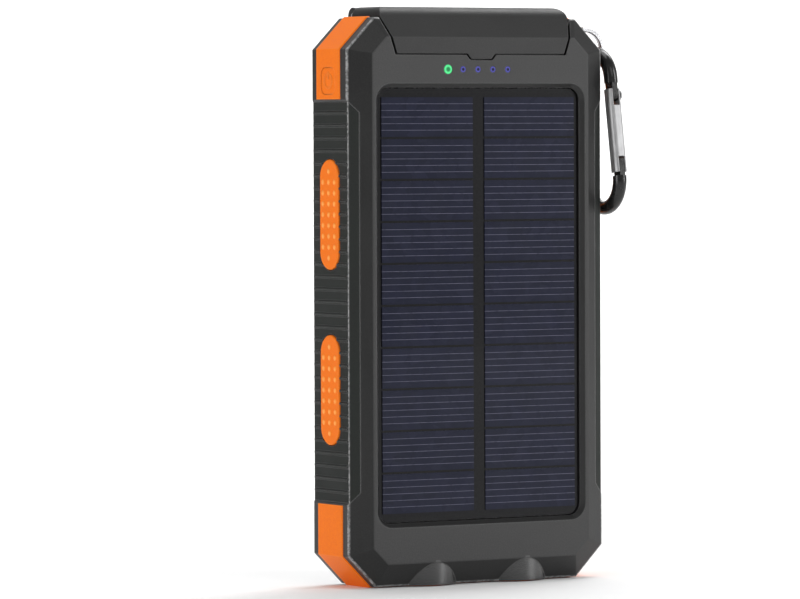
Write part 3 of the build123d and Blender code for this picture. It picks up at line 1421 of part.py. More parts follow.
def main():
    """Build every piece and write its STEP file."""
    os.makedirs("parts", exist_ok=True)
    body = fillet(envelope().edges(), EDGE_RADIUS) + torch_tubes()
    recesses = edge_recesses()
    write("front_shell", front_shell(body, recesses))
    write("back_shell", back_shell(body, recesses))

    right_grip, left_grip = side_grips(pad_seats())
    write("right_side_grip", right_grip)
    write("left_side_grip", left_grip)
    write("right_grip_pads", *grip_pads(1))
    write("left_grip_pads", *grip_pads(-1))
    left_guard, right_guard = corner_guards()
    write("left_corner_guard", left_guard)
    write("right_corner_guard", right_guard)
    write("bottom_bumper", bottom_bumper())

    write("power_button", power_button())
    switch_body, switch_plunger = tactile_switch()
    write("power_switch", switch_body)
    write("switch_plunger", switch_plunger)

    board, adhesive, cells = solar_panel()
    write("solar_panel_board", board)
    write("panel_adhesive", adhesive)
    write("solar_cells", *cells)
    charge_pipe, *battery_pipes = light_pipes()
    write("charge_light_pipe", charge_pipe)
    write("battery_light_pipes", *battery_pipes)
    write("status_leds", *status_leds())

    write("main_circuit_board", main_board())
    write("board_chips", *board_chips())
    write("power_inductors", *power_inductors())
    write("port_frame", port_frame())
    write("usb_port_left", hollow_port(USB_OUTER, USB_WALL, -USB_X))
    write("usb_port_right", hollow_port(USB_OUTER, USB_WALL, USB_X))
    write("usb_tongues", usb_tongue(-USB_X), usb_tongue(USB_X))
    write("usb_contacts", *usb_contacts(-USB_X), *usb_contacts(USB_X))
    write("micro_usb_port", hollow_port(MICRO_OUTER, MICRO_WALL, 0))
    write("micro_usb_tongue", micro_tongue())

    front_cell, rear_cell, foam, tabs = batteries()
    write("battery_cell_front", front_cell)
    write("battery_cell_rear", rear_cell)
    write("battery_foam", foam)
    write("battery_tabs", *tabs)

    write("torch_board", torch_board())
    write("torch_emitters", *torch_emitters())
    write("torch_reflectors", *torch_reflectors())
    write("torch_lenses", *torch_lenses())

    write("compass_plate", compass_plate())
    write("compass_cup", compass_cup())
    write("compass_pivot", compass_pivot())
    write("compass_card", compass_card())
    write("compass_lens", compass_lens())

    write("port_flap", port_flap())
    write("port_plugs", *port_plugs())
    write("flap_hinge_pin", rod((-EAR_OUTER, HINGE_Y, HINGE_Z), (EAR_OUTER, HINGE_Y, HINGE_Z), PIN_RADIUS))
    write("case_screws", *case_screws())
    write("screw_caps", *screw_caps())

    write("strap_bar", strap_bar())
    write("split_ring", split_ring())
    write("snap_hook_body", snap_hook())
    write("snap_hook_gate", hook_gate())
    write("gate_rivet", gate_rivet())
    write("gate_latch_pin", across(-HOOK_RADIUS, -GATE_PIN, GATE_HALF_X, LATCH_PIN_RADIUS))


main()
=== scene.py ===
import json
import math

import bpy
from mathutils import Matrix, Vector

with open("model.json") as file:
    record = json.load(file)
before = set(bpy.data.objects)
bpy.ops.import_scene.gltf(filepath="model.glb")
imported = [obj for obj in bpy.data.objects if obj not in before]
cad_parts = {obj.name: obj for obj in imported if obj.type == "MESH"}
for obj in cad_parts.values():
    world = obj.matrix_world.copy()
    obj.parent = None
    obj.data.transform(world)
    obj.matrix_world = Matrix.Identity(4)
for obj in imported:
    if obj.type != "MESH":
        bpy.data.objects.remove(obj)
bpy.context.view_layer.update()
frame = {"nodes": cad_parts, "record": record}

MM = 0.001

# ---------------------------------------------------------------- places on the CAD, in millimetres
CELL_ROWS = 10
CELL_HEIGHT = 9.7
CELL_PITCH = 10.25
WINDOW_MIDDLE = 69.2
CELL_BOTTOM = WINDOW_MIDDLE - (CELL_ROWS - 1) / 2 * CELL_PITCH - CELL_HEIGHT / 2
LIGHT_HEIGHT = 127.0
LIGHT_MIDDLE = -1.05
LIGHT_PITCH = 4.35
LIGHT_X = [LIGHT_MIDDLE + LIGHT_PITCH * (place - 2) for place in range(5)]
CHARGE_LIGHT_RADIUS = 1.2
BATTERY_LIGHT_RADIUS = 0.8
COMPASS_HEIGHT = 121.9
CARD_RADIUS = 5.85
FACE_DEPTH = -10.3       # in front of this is the flat face
SEAM_DEPTH = -7.45       # where the edge strip meets the front bevel
SEAM_HIGHLIGHT_HALF = 0.14         # the painted highlight line is full up to here
SEAM_HIGHLIGHT_FADE = 0.34         # and gone here
PAD_SURFACE = 37.2       # the side pads' dots stand out of this
DOT_RISE = 0.22
TORCH_X = 13.1
BULGE_RADIUS = 10.3
BULGE_SKIN = 0.12        # how near its surface a point counts as on the bulge
BULGE_TOP = 6.5

# ---------------------------------------------------------------- fine detail
# Painted edge highlight: bevel samples, and the cosines where the edge lightening starts and is full.
EDGE_SAMPLES = 4
HIGHLIGHT_STARTS = 0.97       # cosine between the rounded and the flat normal
HIGHLIGHT_FULL = 0.75
FINGERS = 6              # silver lines on a cell
FINGER_MARGIN = 0.08     # share of a cell's height at each end without a line
TICKS = 36
TICK_RING = (0.8, 0.95)  # inner and outer reach, as a share of the card's radius
ROSE_SLOPE = 3.6
ROSE_REACH = 0.72
SCRATCH_SCALE = {"X": (60, 2600, 2600), "Z": (2600, 2600, 60)}

# ---------------------------------------------------------------- studio, in metres and degrees
FLOOR_FRONT = -3.0
FLOOR_BACK = 1.2
FLOOR_HALF_WIDTH = 3.5
FLOOR_TURN = math.radians(31.7)
CURVE_RADIUS = 0.9
CURVE_STEPS = 12
BACKDROP_TOP = 4.0
MIDDLE = (0.0, 0.0, 0.07)
WORLD_STRENGTH = 0.34
YAW = math.radians(31.67)
PITCH = math.radians(1.78)
ROLL = math.radians(-0.2147)
DISTANCE = 1.3717
AIM = Vector((-0.017447, 0.0, 0.07037))
SENSOR_WIDTH = 36.0
LENS_LENGTH = 250.3215
NEAR_CLIP = 0.05


# ---------------------------------------------------------------- node tree helpers
class Tree:
    """Builds one material's node tree with little typing."""

    def __init__(self, name, rough=0.5, metal=0.0, coat=0.0, ior=1.5):
        self.material = bpy.data.materials.new(name)
        self.material.use_nodes = True
        self.tree = self.material.node_tree
        self.tree.nodes.clear()
        output = self.tree.nodes.new("ShaderNodeOutputMaterial")
        self.shader = self.tree.nodes.new("ShaderNodeBsdfPrincipled")
        self.link(self.shader.outputs["BSDF"], output.inputs["Surface"])
        self.shader.inputs["Roughness"].default_value = rough
        self.shader.inputs["Metallic"].default_value = metal
        self.shader.inputs["Coat Weight"].default_value = coat
        self.shader.inputs["IOR"].default_value = ior
        self.coord = self.tree.nodes.new("ShaderNodeTexCoord").outputs["Object"]

    def link(self, source, target):
        self.tree.links.new(source, target)

    def node(self, kind, inputs=None, **settings):
        made = self.tree.nodes.new(kind)
        for key, value in settings.items():
            setattr(made, key, value)
        for key, value in (inputs or {}).items():
            if isinstance(value, bpy.types.NodeSocket):
                self.link(value, made.inputs[key])
            else:
                made.inputs[key].default_value = value
        return made

    def noise(self, scale, detail, rough, vector=None):
        made = self.node(
            "ShaderNodeTexNoise",
            {"Scale": scale, "Detail": detail, "Roughness": rough, "Vector": vector or self.coord},
        )
        return made.outputs["Fac"]

    def voronoi(self, scale, out="Distance"):
        made = self.node("ShaderNodeTexVoronoi", {"Scale": scale, "Vector": self.coord})
        return made.outputs[out]

    def ramp(self, factor, stops):
        made = self.node("ShaderNodeValToRGB", {"Fac": factor})
        elements = made.color_ramp.elements
        while len(elements) < len(stops):
            elements.new(0.5)
        for element, (position, color) in zip(elements, stops):
            element.position = position
            element.color = rgba(color)
        return made.outputs["Color"]

    def remap(self, value, low, high, new_low, new_high):
        inputs = {0: value, 1: low, 2: high, 3: new_low, 4: new_high}
        return self.node("ShaderNodeMapRange", inputs).outputs[0]

    def math(self, operation, a, b=0.0):
        return self.node("ShaderNodeMath", {0: a, 1: b}, operation=operation).outputs[0]

    def length(self, a, b):
        """The length of the vector (a, b)."""
        squares = self.math("ADD", self.math("MULTIPLY", a, a), self.math("MULTIPLY", b, b))
        return self.math("SQRT", squares)

    def mix(self, factor, a, b):
        made = self.node("ShaderNodeMix", {0: factor, 6: a, 7: b}, data_type="RGBA")
        return made.outputs[2]

    def axes(self):
        made = self.node("ShaderNodeSeparateXYZ", {0: self.coord})
        return made.outputs["X"], made.outputs["Y"], made.outputs["Z"]

    def bump(self, height, strength, distance, normal=None):
        inputs = {"Height": height, "Strength": strength, "Distance": distance}
        if normal is not None:
            inputs["Normal"] = normal
        return self.node("ShaderNodeBump", inputs).outputs["Normal"]

    def painted_edge_highlight(self, radius):
        """A painted highlight mask, high on rounded edges only (how far the rounded normal turns away
        from the flat one), and the rounded normal.
        """
        bevel = self.node("ShaderNodeBevel", {"Radius": radius}, samples=EDGE_SAMPLES)
        geometry = self.node("ShaderNodeNewGeometry")
        dot = self.node(
            "ShaderNodeVectorMath",
            {0: bevel.outputs["Normal"], 1: geometry.outputs["True Normal"]},
            operation="DOT_PRODUCT",
        )
        edge_highlight = self.remap(dot.outputs["Value"], HIGHLIGHT_STARTS, HIGHLIGHT_FULL, 0.0, 1.0)
        return edge_highlight, bevel.outputs["Normal"]

    def seam(self):
        """A thin speckled painted highlight line where the edge strip meets the front bevel."""
        _, depth, _ = self.axes()
        off = self.math("ABSOLUTE", self.math("SUBTRACT", depth, SEAM_DEPTH * MM))
        line = self.remap(off, SEAM_HIGHLIGHT_HALF * MM, SEAM_HIGHLIGHT_FADE * MM, 1.0, 0.0)
        speckle = self.remap(self.noise(1500, 3.0, 0.6), 0.42, 0.58, 0.25, 1.0)
        return self.math("MULTIPLY", line, speckle)

    def color(self, socket):
        self.link(socket, self.shader.inputs["Base Color"])

    def rough(self, socket):
        self.link(socket, self.shader.inputs["Roughness"])

    def normal(self, socket):
        self.link(socket, self.shader.inputs["Normal"])


def grey(value):
    return (value, value, value)


def rgba(color):
    return (*color, 1.0)


# ---------------------------------------------------------------- materials
def on_bulge(t):
    """Whether a point lies on one of the two round torch bulges."""
    x, y, _ = t.axes()
    aside = t.math("SUBTRACT", t.math("ABSOLUTE", x), TORCH_X * MM)
    off = t.math("ABSOLUTE", t.math("SUBTRACT", t.length(aside, y), BULGE_RADIUS * MM))
    return t.math("LESS_THAN", off, BULGE_SKIN * MM)


def case_plastic():
    """Dark grey moulded plastic: grained on the flat face, smoother elsewhere, with a darker colour
    there as painted shade; painted highlights on rounded edges and along the seam.
    """
    t = Tree("case_plastic", rough=0.62)
    grain = t.noise(2600, 3.0, 0.6)
    speck = t.voronoi(3200)
    cloud = t.noise(38, 4.0, 0.6)
    _, depth, height_z = t.axes()
    face = t.math("LESS_THAN", depth, FACE_DEPTH * MM)
    # Off the flat face the colour is darker as painted shade on bevels and sides, where the finish is
    # also smoother.
    matt = t.ramp(grain, [(0.25, grey(0.027)), (0.55, grey(0.038)), (0.85, grey(0.054))])
    shaded_smooth = t.ramp(grain, [(0.25, grey(0.009)), (0.55, grey(0.013)), (0.85, grey(0.019))])
    base = t.mix(face, shaded_smooth, matt)
    base = t.mix(t.remap(cloud, 0.35, 0.7, 0.0, 0.12), base, rgba(grey(0.04)))
    edge_highlight, round_normal = t.painted_edge_highlight(0.00045)
    # Painted highlight: rounded edges lightened towards pale grey.
    base = t.mix(t.math("MULTIPLY", edge_highlight, 0.7), base, rgba(grey(0.2)))
    # Painted highlight: a pale speckled line along the seam.
    base = t.mix(t.seam(), base, rgba(grey(0.42)))
    t.color(base)
    matt_rough = t.remap(t.math("ADD", grain, t.math("MULTIPLY", cloud, 0.6)), 0.5, 1.1, 0.46, 0.62)
    low = t.math("MULTIPLY", t.math("LESS_THAN", height_z, BULGE_TOP * MM), on_bulge(t))
    smooth_rough = t.remap(cloud, 0.3, 0.7, 0.3, 0.4)
    smooth_rough = t.math("SUBTRACT", smooth_rough, t.math("MULTIPLY", low, 0.12))
    blend = t.node("ShaderNodeMix", {0: face, 2: smooth_rough, 3: matt_rough}, data_type="FLOAT")
    t.rough(blend.outputs[0])
    t.link(t.math("ADD", t.math("MULTIPLY", low, 0.55), 0.4), t.shader.inputs["Specular IOR Level"])
    height = t.math("ADD", grain, t.math("MULTIPLY", speck, 0.8))
    t.normal(t.bump(height, 0.28, 0.00006, round_normal))
    return t.material


def grip_rubber():
    """Black-grey soft rubber with a powdery surface; rounded edges, rib edges too, lightened as
    painted highlight, and a painted highlight line along the seam.
    """
    t = Tree("grip_rubber", rough=0.72)
    fine = t.noise(3400, 2.0, 0.6)
    cloud = t.noise(60, 4.0, 0.6)
    base = t.ramp(fine, [(0.3, (0.007, 0.009, 0.008)), (0.7, (0.013, 0.015, 0.0135))])
    base = t.mix(t.remap(cloud, 0.4, 0.7, 0.0, 0.45), base, (0.017, 0.021, 0.018, 1.0))
    edge_highlight, round_normal = t.painted_edge_highlight(0.0003)
    # Painted highlight: rounded edges and rib edges lightened towards pale grey.
    base = t.mix(t.math("MULTIPLY", edge_highlight, 0.9), base, rgba(grey(0.19)))
    # Painted highlight: a pale speckled line along the seam.
    base = t.mix(t.seam(), base, rgba(grey(0.36)))
    t.color(base)
    t.shader.inputs["Specular IOR Level"].default_value = 0.35
    t.rough(t.remap(cloud, 0.3, 0.7, 0.6, 0.78))
    t.normal(t.bump(fine, 0.2, 0.00005, round_normal))
    return t.material


def flap_rubber():
    """Dark grey rubber of the port flap: matt on the lip, smoother over the roll, which is coloured
    darker as painted shade; rounded edges lightened as painted highlight.
    """
    t = Tree("flap_rubber", rough=0.6)
    grain = t.noise(2900, 3.0, 0.6)
    cloud = t.noise(44, 4.0, 0.6)
    _, depth, _ = t.axes()
    lip = t.math("LESS_THAN", depth, FACE_DEPTH * MM)
    matt = t.ramp(grain, [(0.25, grey(0.019)), (0.55, grey(0.027)), (0.85, grey(0.038))])
    # Off the lip, over the roll, the colour is darker as painted shade.
    shaded_smooth = t.ramp(grain, [(0.25, grey(0.006)), (0.55, grey(0.009)), (0.85, grey(0.014))])
    base = t.mix(lip, shaded_smooth, matt)
    base = t.mix(t.remap(cloud, 0.35, 0.7, 0.0, 0.12), base, rgba(grey(0.024)))
    edge_highlight, round_normal = t.painted_edge_highlight(0.0004)
    # Painted highlight: rounded edges lightened towards grey.
    base = t.mix(t.math("MULTIPLY", edge_highlight, 0.6), base, rgba(grey(0.14)))
    t.color(base)
    t.shader.inputs["Specular IOR Level"].default_value = 0.35
    t.rough(t.remap(cloud, 0.3, 0.7, 0.42, 0.54))
    t.normal(t.bump(grain, 0.22, 0.00005, round_normal))
    return t.material


def orange(name, rough, grain_scale, dotted=False):
    """Orange moulded plastic or rubber, paler on rounded edges as painted highlight, and, where
    dotted, on the dot tops as painted highlight.
    """
    t = Tree(name, rough=rough)
    fine = t.noise(grain_scale, 3.0, 0.55)
    cloud = t.noise(45, 4.0, 0.6)
    base = t.ramp(fine, [(0.25, (0.84, 0.155, 0.004)), (0.8, (0.95, 0.215, 0.008))])
    base = t.mix(t.remap(cloud, 0.35, 0.7, 0.0, 0.4), base, (0.86, 0.17, 0.006, 1.0))
    edge_highlight, round_normal = t.painted_edge_highlight(0.0003)
    # Painted highlight: rounded edges lightened towards pale orange.
    base = t.mix(t.math("MULTIPLY", edge_highlight, 0.6), base, (1.0, 0.46, 0.12, 1.0))
    if dotted:
        x, _, _ = t.axes()
        # Painted highlight: the raised dots grow paler towards their tops.
        top = (PAD_SURFACE + DOT_RISE) * MM
        dot_top_highlight = t.remap(t.math("ABSOLUTE", x), PAD_SURFACE * MM, top, 0.0, 0.75)
        base = t.mix(dot_top_highlight, base, (1.0, 0.45, 0.11, 1.0))
    t.color(base)
    t.shader.inputs["Specular IOR Level"].default_value = 0.15
    t.rough(t.remap(fine, 0.3, 0.7, rough - 0.06, rough + 0.08))
    t.normal(t.bump(fine, 0.16, 0.00005, round_normal))
    t.shader.inputs["Subsurface Weight"].default_value = 0.04
    t.shader.inputs["Subsurface Radius"].default_value = (0.001, 0.0004, 0.0001)
    return t.material


def panel_black():
    """The panel's black backing sheet under its clear coat."""
    t = Tree("panel_black", rough=0.3, coat=0.15)
    t.shader.inputs["Coat Roughness"].default_value = 0.05
    t.shader.inputs["Specular IOR Level"].default_value = 0.12
    weave = t.noise(1500, 2.0, 0.5)
    cloud = t.noise(30, 3.0, 0.5)
    base = t.ramp(weave, [(0.3, (0.005, 0.005, 0.006)), (0.7, (0.010, 0.010, 0.011))])
    base = t.mix(t.remap(cloud, 0.3, 0.7, 0.0, 0.4), base, (0.008, 0.008, 0.010, 1.0))
    t.color(base)
    t.normal(t.bump(weave, 0.05, 0.00003))
    return t.material


def solar_cell():
    """Blue-black silicon with silver finger lines, crystal mottling and a clear coat."""
    t = Tree("solar_cell", rough=0.3, coat=0.15)
    t.shader.inputs["Coat Roughness"].default_value = 0.05
    t.shader.inputs["Specular IOR Level"].default_value = 0.12
    _, _, z = t.axes()
    crystal = t.voronoi(420, out="Color")
    crystal_value = t.node("ShaderNodeSeparateColor", {0: crystal}).outputs[0]
    streak = t.noise(180, 3.0, 0.5)
    blues = [(0.0, (0.007, 0.009, 0.024)), (0.5, (0.009, 0.011, 0.028)), (1.0, (0.012, 0.014, 0.033))]
    base = t.ramp(crystal_value, blues)
    base = t.mix(t.remap(streak, 0.3, 0.75, 0.0, 0.5), base, (0.010, 0.012, 0.023, 1.0))
    place = t.math("DIVIDE", t.math("SUBTRACT", z, CELL_BOTTOM * MM), CELL_PITCH * MM)
    within = t.math("MULTIPLY", t.math("FRACT", place), CELL_PITCH / CELL_HEIGHT)
    finger = t.math("FRACT", t.math("MULTIPLY", within, FINGERS))
    off = t.math("ABSOLUTE", t.math("SUBTRACT", finger, 0.5))
    line = t.remap(off, 0.46, 0.48, 0.0, 1.0)
    inside = t.math(
        "MULTIPLY",
        t.math("GREATER_THAN", within, FINGER_MARGIN),
        t.math("LESS_THAN", within, 1 - FINGER_MARGIN),
    )
    line = t.math("MULTIPLY", line, inside)
    breaks = t.remap(t.noise(900, 2.0, 0.5), 0.3, 0.5, 0.55, 1.0)
    line = t.math("MULTIPLY", line, breaks)
    base = t.mix(line, base, (0.14, 0.14, 0.20, 1.0))
    t.color(base)
    t.rough(t.math("SUBTRACT", 0.3, t.math("MULTIPLY", line, 0.06)))
    t.normal(t.bump(t.math("ADD", line, t.math("MULTIPLY", streak, 0.2)), 0.12, 0.00003))
    return t.material


def light(name, ring, core, glow, radius, places):
    """Clear status lights at these places across the face: a bright ring round a darker middle."""
    t = Tree(name, rough=0.25)
    t.shader.inputs["Specular IOR Level"].default_value = 0.15
    x, _, z = t.axes()
    dz = t.math("SUBTRACT", z, LIGHT_HEIGHT * MM)
    near = None
    for place in places:
        dx = t.math("SUBTRACT", x, place * MM)
        away = t.length(dx, dz)
        near = away if near is None else t.math("MINIMUM", near, away)
    share = t.math("DIVIDE", near, radius * MM)
    base = t.ramp(share, [(0.0, core), (0.35, core), (0.6, ring), (0.88, ring), (1.0, core)])
    mottle = t.noise(1800, 2.0, 0.5)
    base = t.mix(t.remap(mottle, 0.3, 0.7, 0.0, 0.18), base, rgba(core))
    t.color(base)
    t.link(base, t.shader.inputs["Emission Color"])
    t.shader.inputs["Emission Strength"].default_value = glow
    t.normal(t.bump(mottle, 0.05, 0.00003))
    return t.material


def black_metal():
    """Gloss black enamel on a metal rod, with a slight orange peel."""
    t = Tree("black_metal", rough=0.2, coat=0.2)
    t.shader.inputs["Specular IOR Level"].default_value = 0.35
    peel = t.noise(700, 2.0, 0.5)
    dust = t.noise(4200, 2.0, 0.5)
    base = t.ramp(peel, [(0.3, grey(0.006)), (0.7, grey(0.011))])
    base = t.mix(t.remap(dust, 0.66, 0.8, 0.0, 0.3), base, rgba(grey(0.06)))
    t.color(base)
    t.rough(t.remap(peel, 0.3, 0.7, 0.16, 0.3))
    t.shader.inputs["Coat Roughness"].default_value = 0.06
    t.normal(t.bump(peel, 0.08, 0.00006))
    return t.material


def metal(name, low, high, rough, scratch_axis="Z", strength=0.12):
    """Plated or drawn metal with fine scratches along one axis and a few dull patches."""
    t = Tree(name, rough=rough, metal=1.0)
    stretch = {"Vector": t.coord, "Scale": SCRATCH_SCALE[scratch_axis]}
    mapping = t.node("ShaderNodeMapping", stretch)
    scratch = t.noise(1.0, 3.0, 0.6, mapping.outputs[0])
    patch = t.noise(240, 4.0, 0.6)
    base = t.ramp(scratch, [(0.3, low), (0.7, high)])
    base = t.mix(t.remap(patch, 0.45, 0.75, 0.0, 0.4), base, rgba(low))
    t.color(base)
    t.rough(t.remap(t.math("ADD", scratch, patch), 0.6, 1.4, rough - 0.06, rough + 0.14))
    _, round_normal = t.painted_edge_highlight(0.00015)
    t.normal(t.bump(scratch, strength, 0.00004, round_normal))
    return t.material


def clear_lens():
    """Clear moulded plastic with faint ripples."""
    t = Tree("clear_lens", rough=0.04, ior=1.49)
    ripple = t.noise(160, 2.0, 0.5)
    t.color(t.ramp(ripple, [(0.3, (0.93, 0.96, 0.97)), (0.7, (0.98, 0.99, 1.0))]))
    t.shader.inputs["Transmission Weight"].default_value = 1.0
    t.rough(t.remap(ripple, 0.3, 0.7, 0.02, 0.07))
    t.normal(t.bump(ripple, 0.04, 0.00005))
    return t.material


def plain_plastic(name, low, high, rough):
    """Small moulded pieces: fine grain and faint flow marks."""
    t = Tree(name, rough=rough)
    fine = t.noise(2200, 3.0, 0.6)
    flow = t.noise(90, 4.0, 0.6)
    base = t.ramp(fine, [(0.25, low), (0.8, high)])
    base = t.mix(t.remap(flow, 0.35, 0.7, 0.0, 0.4), base, rgba(low))
    t.color(base)
    t.rough(t.remap(flow, 0.3, 0.7, rough - 0.05, rough + 0.08))
    t.normal(t.bump(fine, 0.1, 0.00004))
    return t.material


def circuit_board():
    """Green solder mask with traces and vias under it."""
    t = Tree("circuit_board", rough=0.35, coat=0.3)
    traces = {
        "Vector": t.coord,
        "Scale": 260.0,
        "Mortar Size": 0.05,
        "Color1": (0.01, 0.10, 0.035, 1.0),
        "Color2": (0.012, 0.13, 0.045, 1.0),
        "Mortar": (0.02, 0.2, 0.08, 1.0),
    }
    brick = t.node("ShaderNodeTexBrick", traces)
    via = t.voronoi(520)
    base = t.mix(t.remap(via, 0.1, 0.14, 1.0, 0.0), brick.outputs["Color"], (0.55, 0.42, 0.16, 1.0))
    t.color(base)
    t.normal(t.bump(brick.outputs["Fac"], 0.1, 0.00003))
    return t.material


def battery_foil():
    """Aluminium laminate pouch with wrinkles."""
    t = Tree("battery_foil", rough=0.4, metal=0.7)
    wrinkle = t.noise(110, 5.0, 0.65)
    fine = t.noise(1400, 2.0, 0.5)
    t.color(t.ramp(wrinkle, [(0.3, (0.42, 0.43, 0.45)), (0.7, (0.62, 0.63, 0.65))]))
    t.rough(t.remap(fine, 0.3, 0.7, 0.32, 0.5))
    t.normal(t.bump(wrinkle, 0.3, 0.0002))
    return t.material


def foam():
    """Soft open foam or adhesive sheet."""
    t = Tree("foam", rough=0.9)
    cell = t.voronoi(1900)
    cloud = t.noise(300, 3.0, 0.6)
    base = t.ramp(cell, [(0.1, grey(0.03)), (0.5, grey(0.12))])
    base = t.mix(t.remap(cloud, 0.3, 0.7, 0.0, 0.4), base, rgba(grey(0.09)))
    t.color(base)
    t.normal(t.bump(cell, 0.3, 0.0001))
    return t.material


def compass_print():
    """The compass card: dark disc, white ticks, a green and white rose with a red north tip."""
    t = Tree("compass_print", rough=0.45)
    x, _, z = t.axes()
    dx = t.math("DIVIDE", x, CARD_RADIUS * MM)
    dz = t.math("DIVIDE", t.math("SUBTRACT", z, COMPASS_HEIGHT * MM), CARD_RADIUS * MM)
    reach = t.length(dx, dz)
    turn = t.math("ARCTAN2", dx, dz)
    print_grain = t.noise(1500, 3.0, 0.6)
    dial = t.ramp(print_grain, [(0.3, grey(0.012)), (0.7, grey(0.022))])
    white = (0.62, 0.62, 0.6, 1.0)
    green = (0.03, 0.42, 0.12, 1.0)
    step = t.math("MULTIPLY", turn, TICKS / (2 * math.pi))
    tick = t.math("ABSOLUTE", t.math("SUBTRACT", t.math("FRACT", step), 0.5))
    ring_inner, ring_outer = TICK_RING
    ticks = t.math("GREATER_THAN", tick, 0.36)
    ticks = t.math("MULTIPLY", ticks, t.math("GREATER_THAN", reach, ring_inner))
    ticks = t.math("MULTIPLY", ticks, t.math("LESS_THAN", reach, ring_outer))
    base = t.mix(ticks, dial, white)
    across = t.math("ABSOLUTE", dx)
    up = t.math("ABSOLUTE", dz)
    off_z = t.math("ADD", t.math("MULTIPLY", across, ROSE_SLOPE), up)
    off_x = t.math("ADD", t.math("MULTIPLY", up, ROSE_SLOPE), across)
    along_z = t.math("LESS_THAN", off_z, ROSE_REACH)
    along_x = t.math("LESS_THAN", off_x, ROSE_REACH)
    half_white = t.math("GREATER_THAN", t.math("MULTIPLY", dx, dz), 0.0)
    rose = t.mix(half_white, green, white)
    base = t.mix(t.math("MAXIMUM", along_z, along_x), base, rose)
    north = t.math("MULTIPLY", along_z, t.math("GREATER_THAN", dz, ROSE_REACH / 2))
    base = t.mix(north, base, (0.6, 0.03, 0.02, 1.0))
    t.color(base)
    t.normal(t.bump(t.noise(1500, 2.0, 0.5), 0.06, 0.00003))
    return t.material


MATERIALS = {
    "case_plastic": case_plastic(),
    "grip_rubber": grip_rubber(),
    "flap_rubber": flap_rubber(),
    "orange_rubber": orange("orange_rubber", 0.5, 3200, dotted=True),
    "orange_plastic": orange("orange_plastic", 0.5, 2600),
    "dark_plastic": plain_plastic("dark_plastic", grey(0.02), grey(0.035), 0.5),
    "white_plastic": plain_plastic("white_plastic", (0.62, 0.62, 0.6), (0.74, 0.74, 0.72), 0.4),
    "panel_black": panel_black(),
    "solar_cell": solar_cell(),
    "foam": foam(),
    "green_light": light(
        "green_light", (0.10, 0.75, 0.27), (0.02, 0.20, 0.07), 0.3, CHARGE_LIGHT_RADIUS, LIGHT_X[:1]
    ),
    "blue_light": light(
        "blue_light", (0.10, 0.10, 0.42), (0.01, 0.01, 0.03), 0.1, BATTERY_LIGHT_RADIUS, LIGHT_X[1:]
    ),
    "led_white": plain_plastic("led_white", (0.7, 0.7, 0.62), (0.82, 0.82, 0.76), 0.3),
    "led_yellow": plain_plastic("led_yellow", (0.78, 0.6, 0.1), (0.9, 0.74, 0.18), 0.3),
    "circuit_board": circuit_board(),
    "port_metal": metal("port_metal", grey(0.5), grey(0.68), 0.26),
    "contact_brass": metal("contact_brass", (0.66, 0.46, 0.14), (0.82, 0.62, 0.24), 0.24),
    "battery_foil": battery_foil(),
    "reflector": metal("reflector", grey(0.78), grey(0.9), 0.1, "Z", 0.03),
    "clear_lens": clear_lens(),
    "compass_print": compass_print(),
    "steel": metal("steel", (0.46, 0.46, 0.47), (0.66, 0.66, 0.68), 0.22, "X"),
    "gate_metal": metal("gate_metal", (0.36, 0.36, 0.365), (0.50, 0.50, 0.505), 0.5),
    "black_metal": black_metal(),
}

# Nodes that look different from the rest of their material slot.
OTHER_FINISH = {"port_flap": "flap_rubber", "power_button": "orange_plastic"}

for part in frame["record"]["subparts"]:
    mesh = frame["nodes"][part["node"]].data
    mesh.materials.clear()
    mesh.materials.append(MATERIALS[OTHER_FINISH.get(part["node"], part["material_slot"])])


# ---------------------------------------------------------------- floor, lights, camera
def stage_material():
    """White paper with a faint unevenness."""
    t = Tree("stage_white", rough=0.9)
    fine = t.noise(30, 3.0, 0.5)
    t.color(t.ramp(fine, [(0.3, grey(0.87)), (0.7, grey(0.89))]))
    t.normal(t.bump(fine, 0.02, 0.0005))
    return t.material


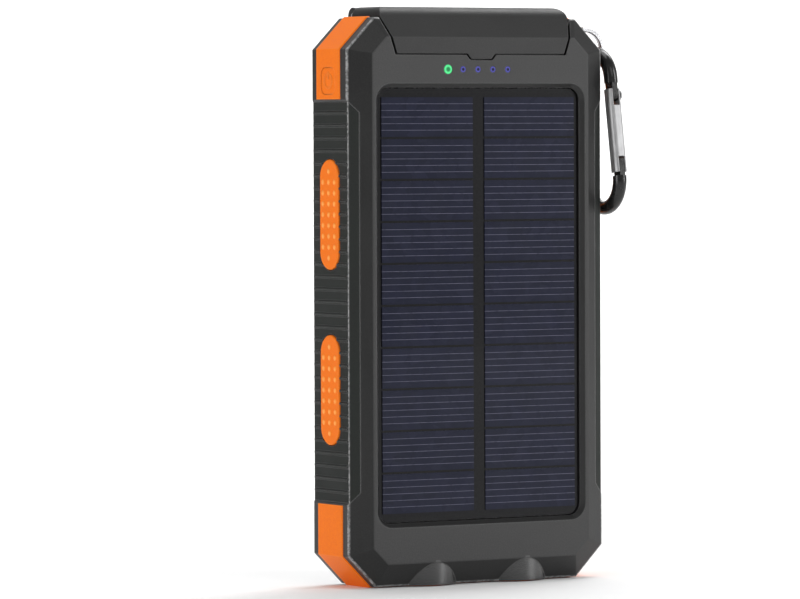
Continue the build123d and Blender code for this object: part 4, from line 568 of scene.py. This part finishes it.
def floor():
    """One sheet: a floor that curves up into a backdrop."""
    rows = [(FLOOR_FRONT, 0.0), (FLOOR_BACK, 0.0)]
    for step in range(1, CURVE_STEPS + 1):
        angle = math.radians(90 * step / CURVE_STEPS)
        y = FLOOR_BACK + CURVE_RADIUS * math.sin(angle)
        rows.append((y, CURVE_RADIUS * (1 - math.cos(angle))))
    rows.append((FLOOR_BACK + CURVE_RADIUS, BACKDROP_TOP))
    cos_turn, sin_turn = math.cos(FLOOR_TURN), math.sin(FLOOR_TURN)
    vertices = []
    for x in (-FLOOR_HALF_WIDTH, FLOOR_HALF_WIDTH):
        for y, z in rows:
            vertices.append((x * cos_turn + y * sin_turn, -x * sin_turn + y * cos_turn, z))
    count = len(rows)
    faces = [(row, count + row, count + row + 1, row + 1) for row in range(count - 1)]
    mesh = bpy.data.meshes.new("studio_floor")
    mesh.from_pydata(vertices, [], faces)
    mesh.materials.append(stage_material())
    for polygon in mesh.polygons:
        polygon.use_smooth = True
    made = bpy.data.objects.new("studio_floor", mesh)
    bpy.context.scene.collection.objects.link(made)


def aim(obj, target):
    """Turns a lamp towards a point."""
    direction = Vector(target) - obj.location
    obj.rotation_euler = direction.to_track_quat("-Z", "Y").to_euler()


def area_light(name, place, target, size, power, height=None):
    """A square lamp, or a rectangle where a height is given."""
    data = bpy.data.lights.new(name, "AREA")
    data.energy = power
    data.size = size
    if height:
        data.shape = "RECTANGLE"
        data.size_y = height
    lamp = bpy.data.objects.new(name, data)
    lamp.location = place
    bpy.context.scene.collection.objects.link(lamp)
    aim(lamp, target)


floor()
area_light("key_light", (1.08, -1.0, 0.4), MIDDLE, 0.4, 12, 1.2)
area_light("front_light", (-0.1, -1.3, 0.95), MIDDLE, 0.6, 2)
area_light("edge_light", (-1.3, -0.15, 0.35), MIDDLE, 0.45, 7.5, 1.0)
area_light("top_light", (-0.1, 0.15, 1.4), MIDDLE, 0.7, 4)
area_light("backdrop_light", (0.9, 0.55, 1.5), (0.6, 1.9, 0.2), 1.2, 34)

world = bpy.data.worlds.new("studio")
world.use_nodes = True
world.node_tree.nodes["Background"].inputs["Color"].default_value = (1, 1, 1, 1)
world.node_tree.nodes["Background"].inputs["Strength"].default_value = WORLD_STRENGTH
bpy.context.scene.world = world
bpy.context.scene.view_settings.view_transform = "Standard"

level = math.cos(PITCH)
back = Vector((-math.sin(YAW) * level, -math.cos(YAW) * level, math.sin(PITCH)))
right = (-back).cross(Vector((0, 0, 1))).normalized()
up = right.cross(-back)
turned_right = math.cos(ROLL) * right + math.sin(ROLL) * up
turned_up = -math.sin(ROLL) * right + math.cos(ROLL) * up

camera_data = bpy.data.cameras.new("camera")
camera_data.sensor_width = SENSOR_WIDTH
camera_data.lens = LENS_LENGTH
camera_data.clip_start = NEAR_CLIP
camera = bpy.data.objects.new("camera", camera_data)
bpy.context.scene.collection.objects.link(camera)
camera.matrix_world = Matrix((turned_right, turned_up, back)).transposed().to_4x4()
camera.location = AIM + back * DISTANCE
bpy.context.scene.camera = camera
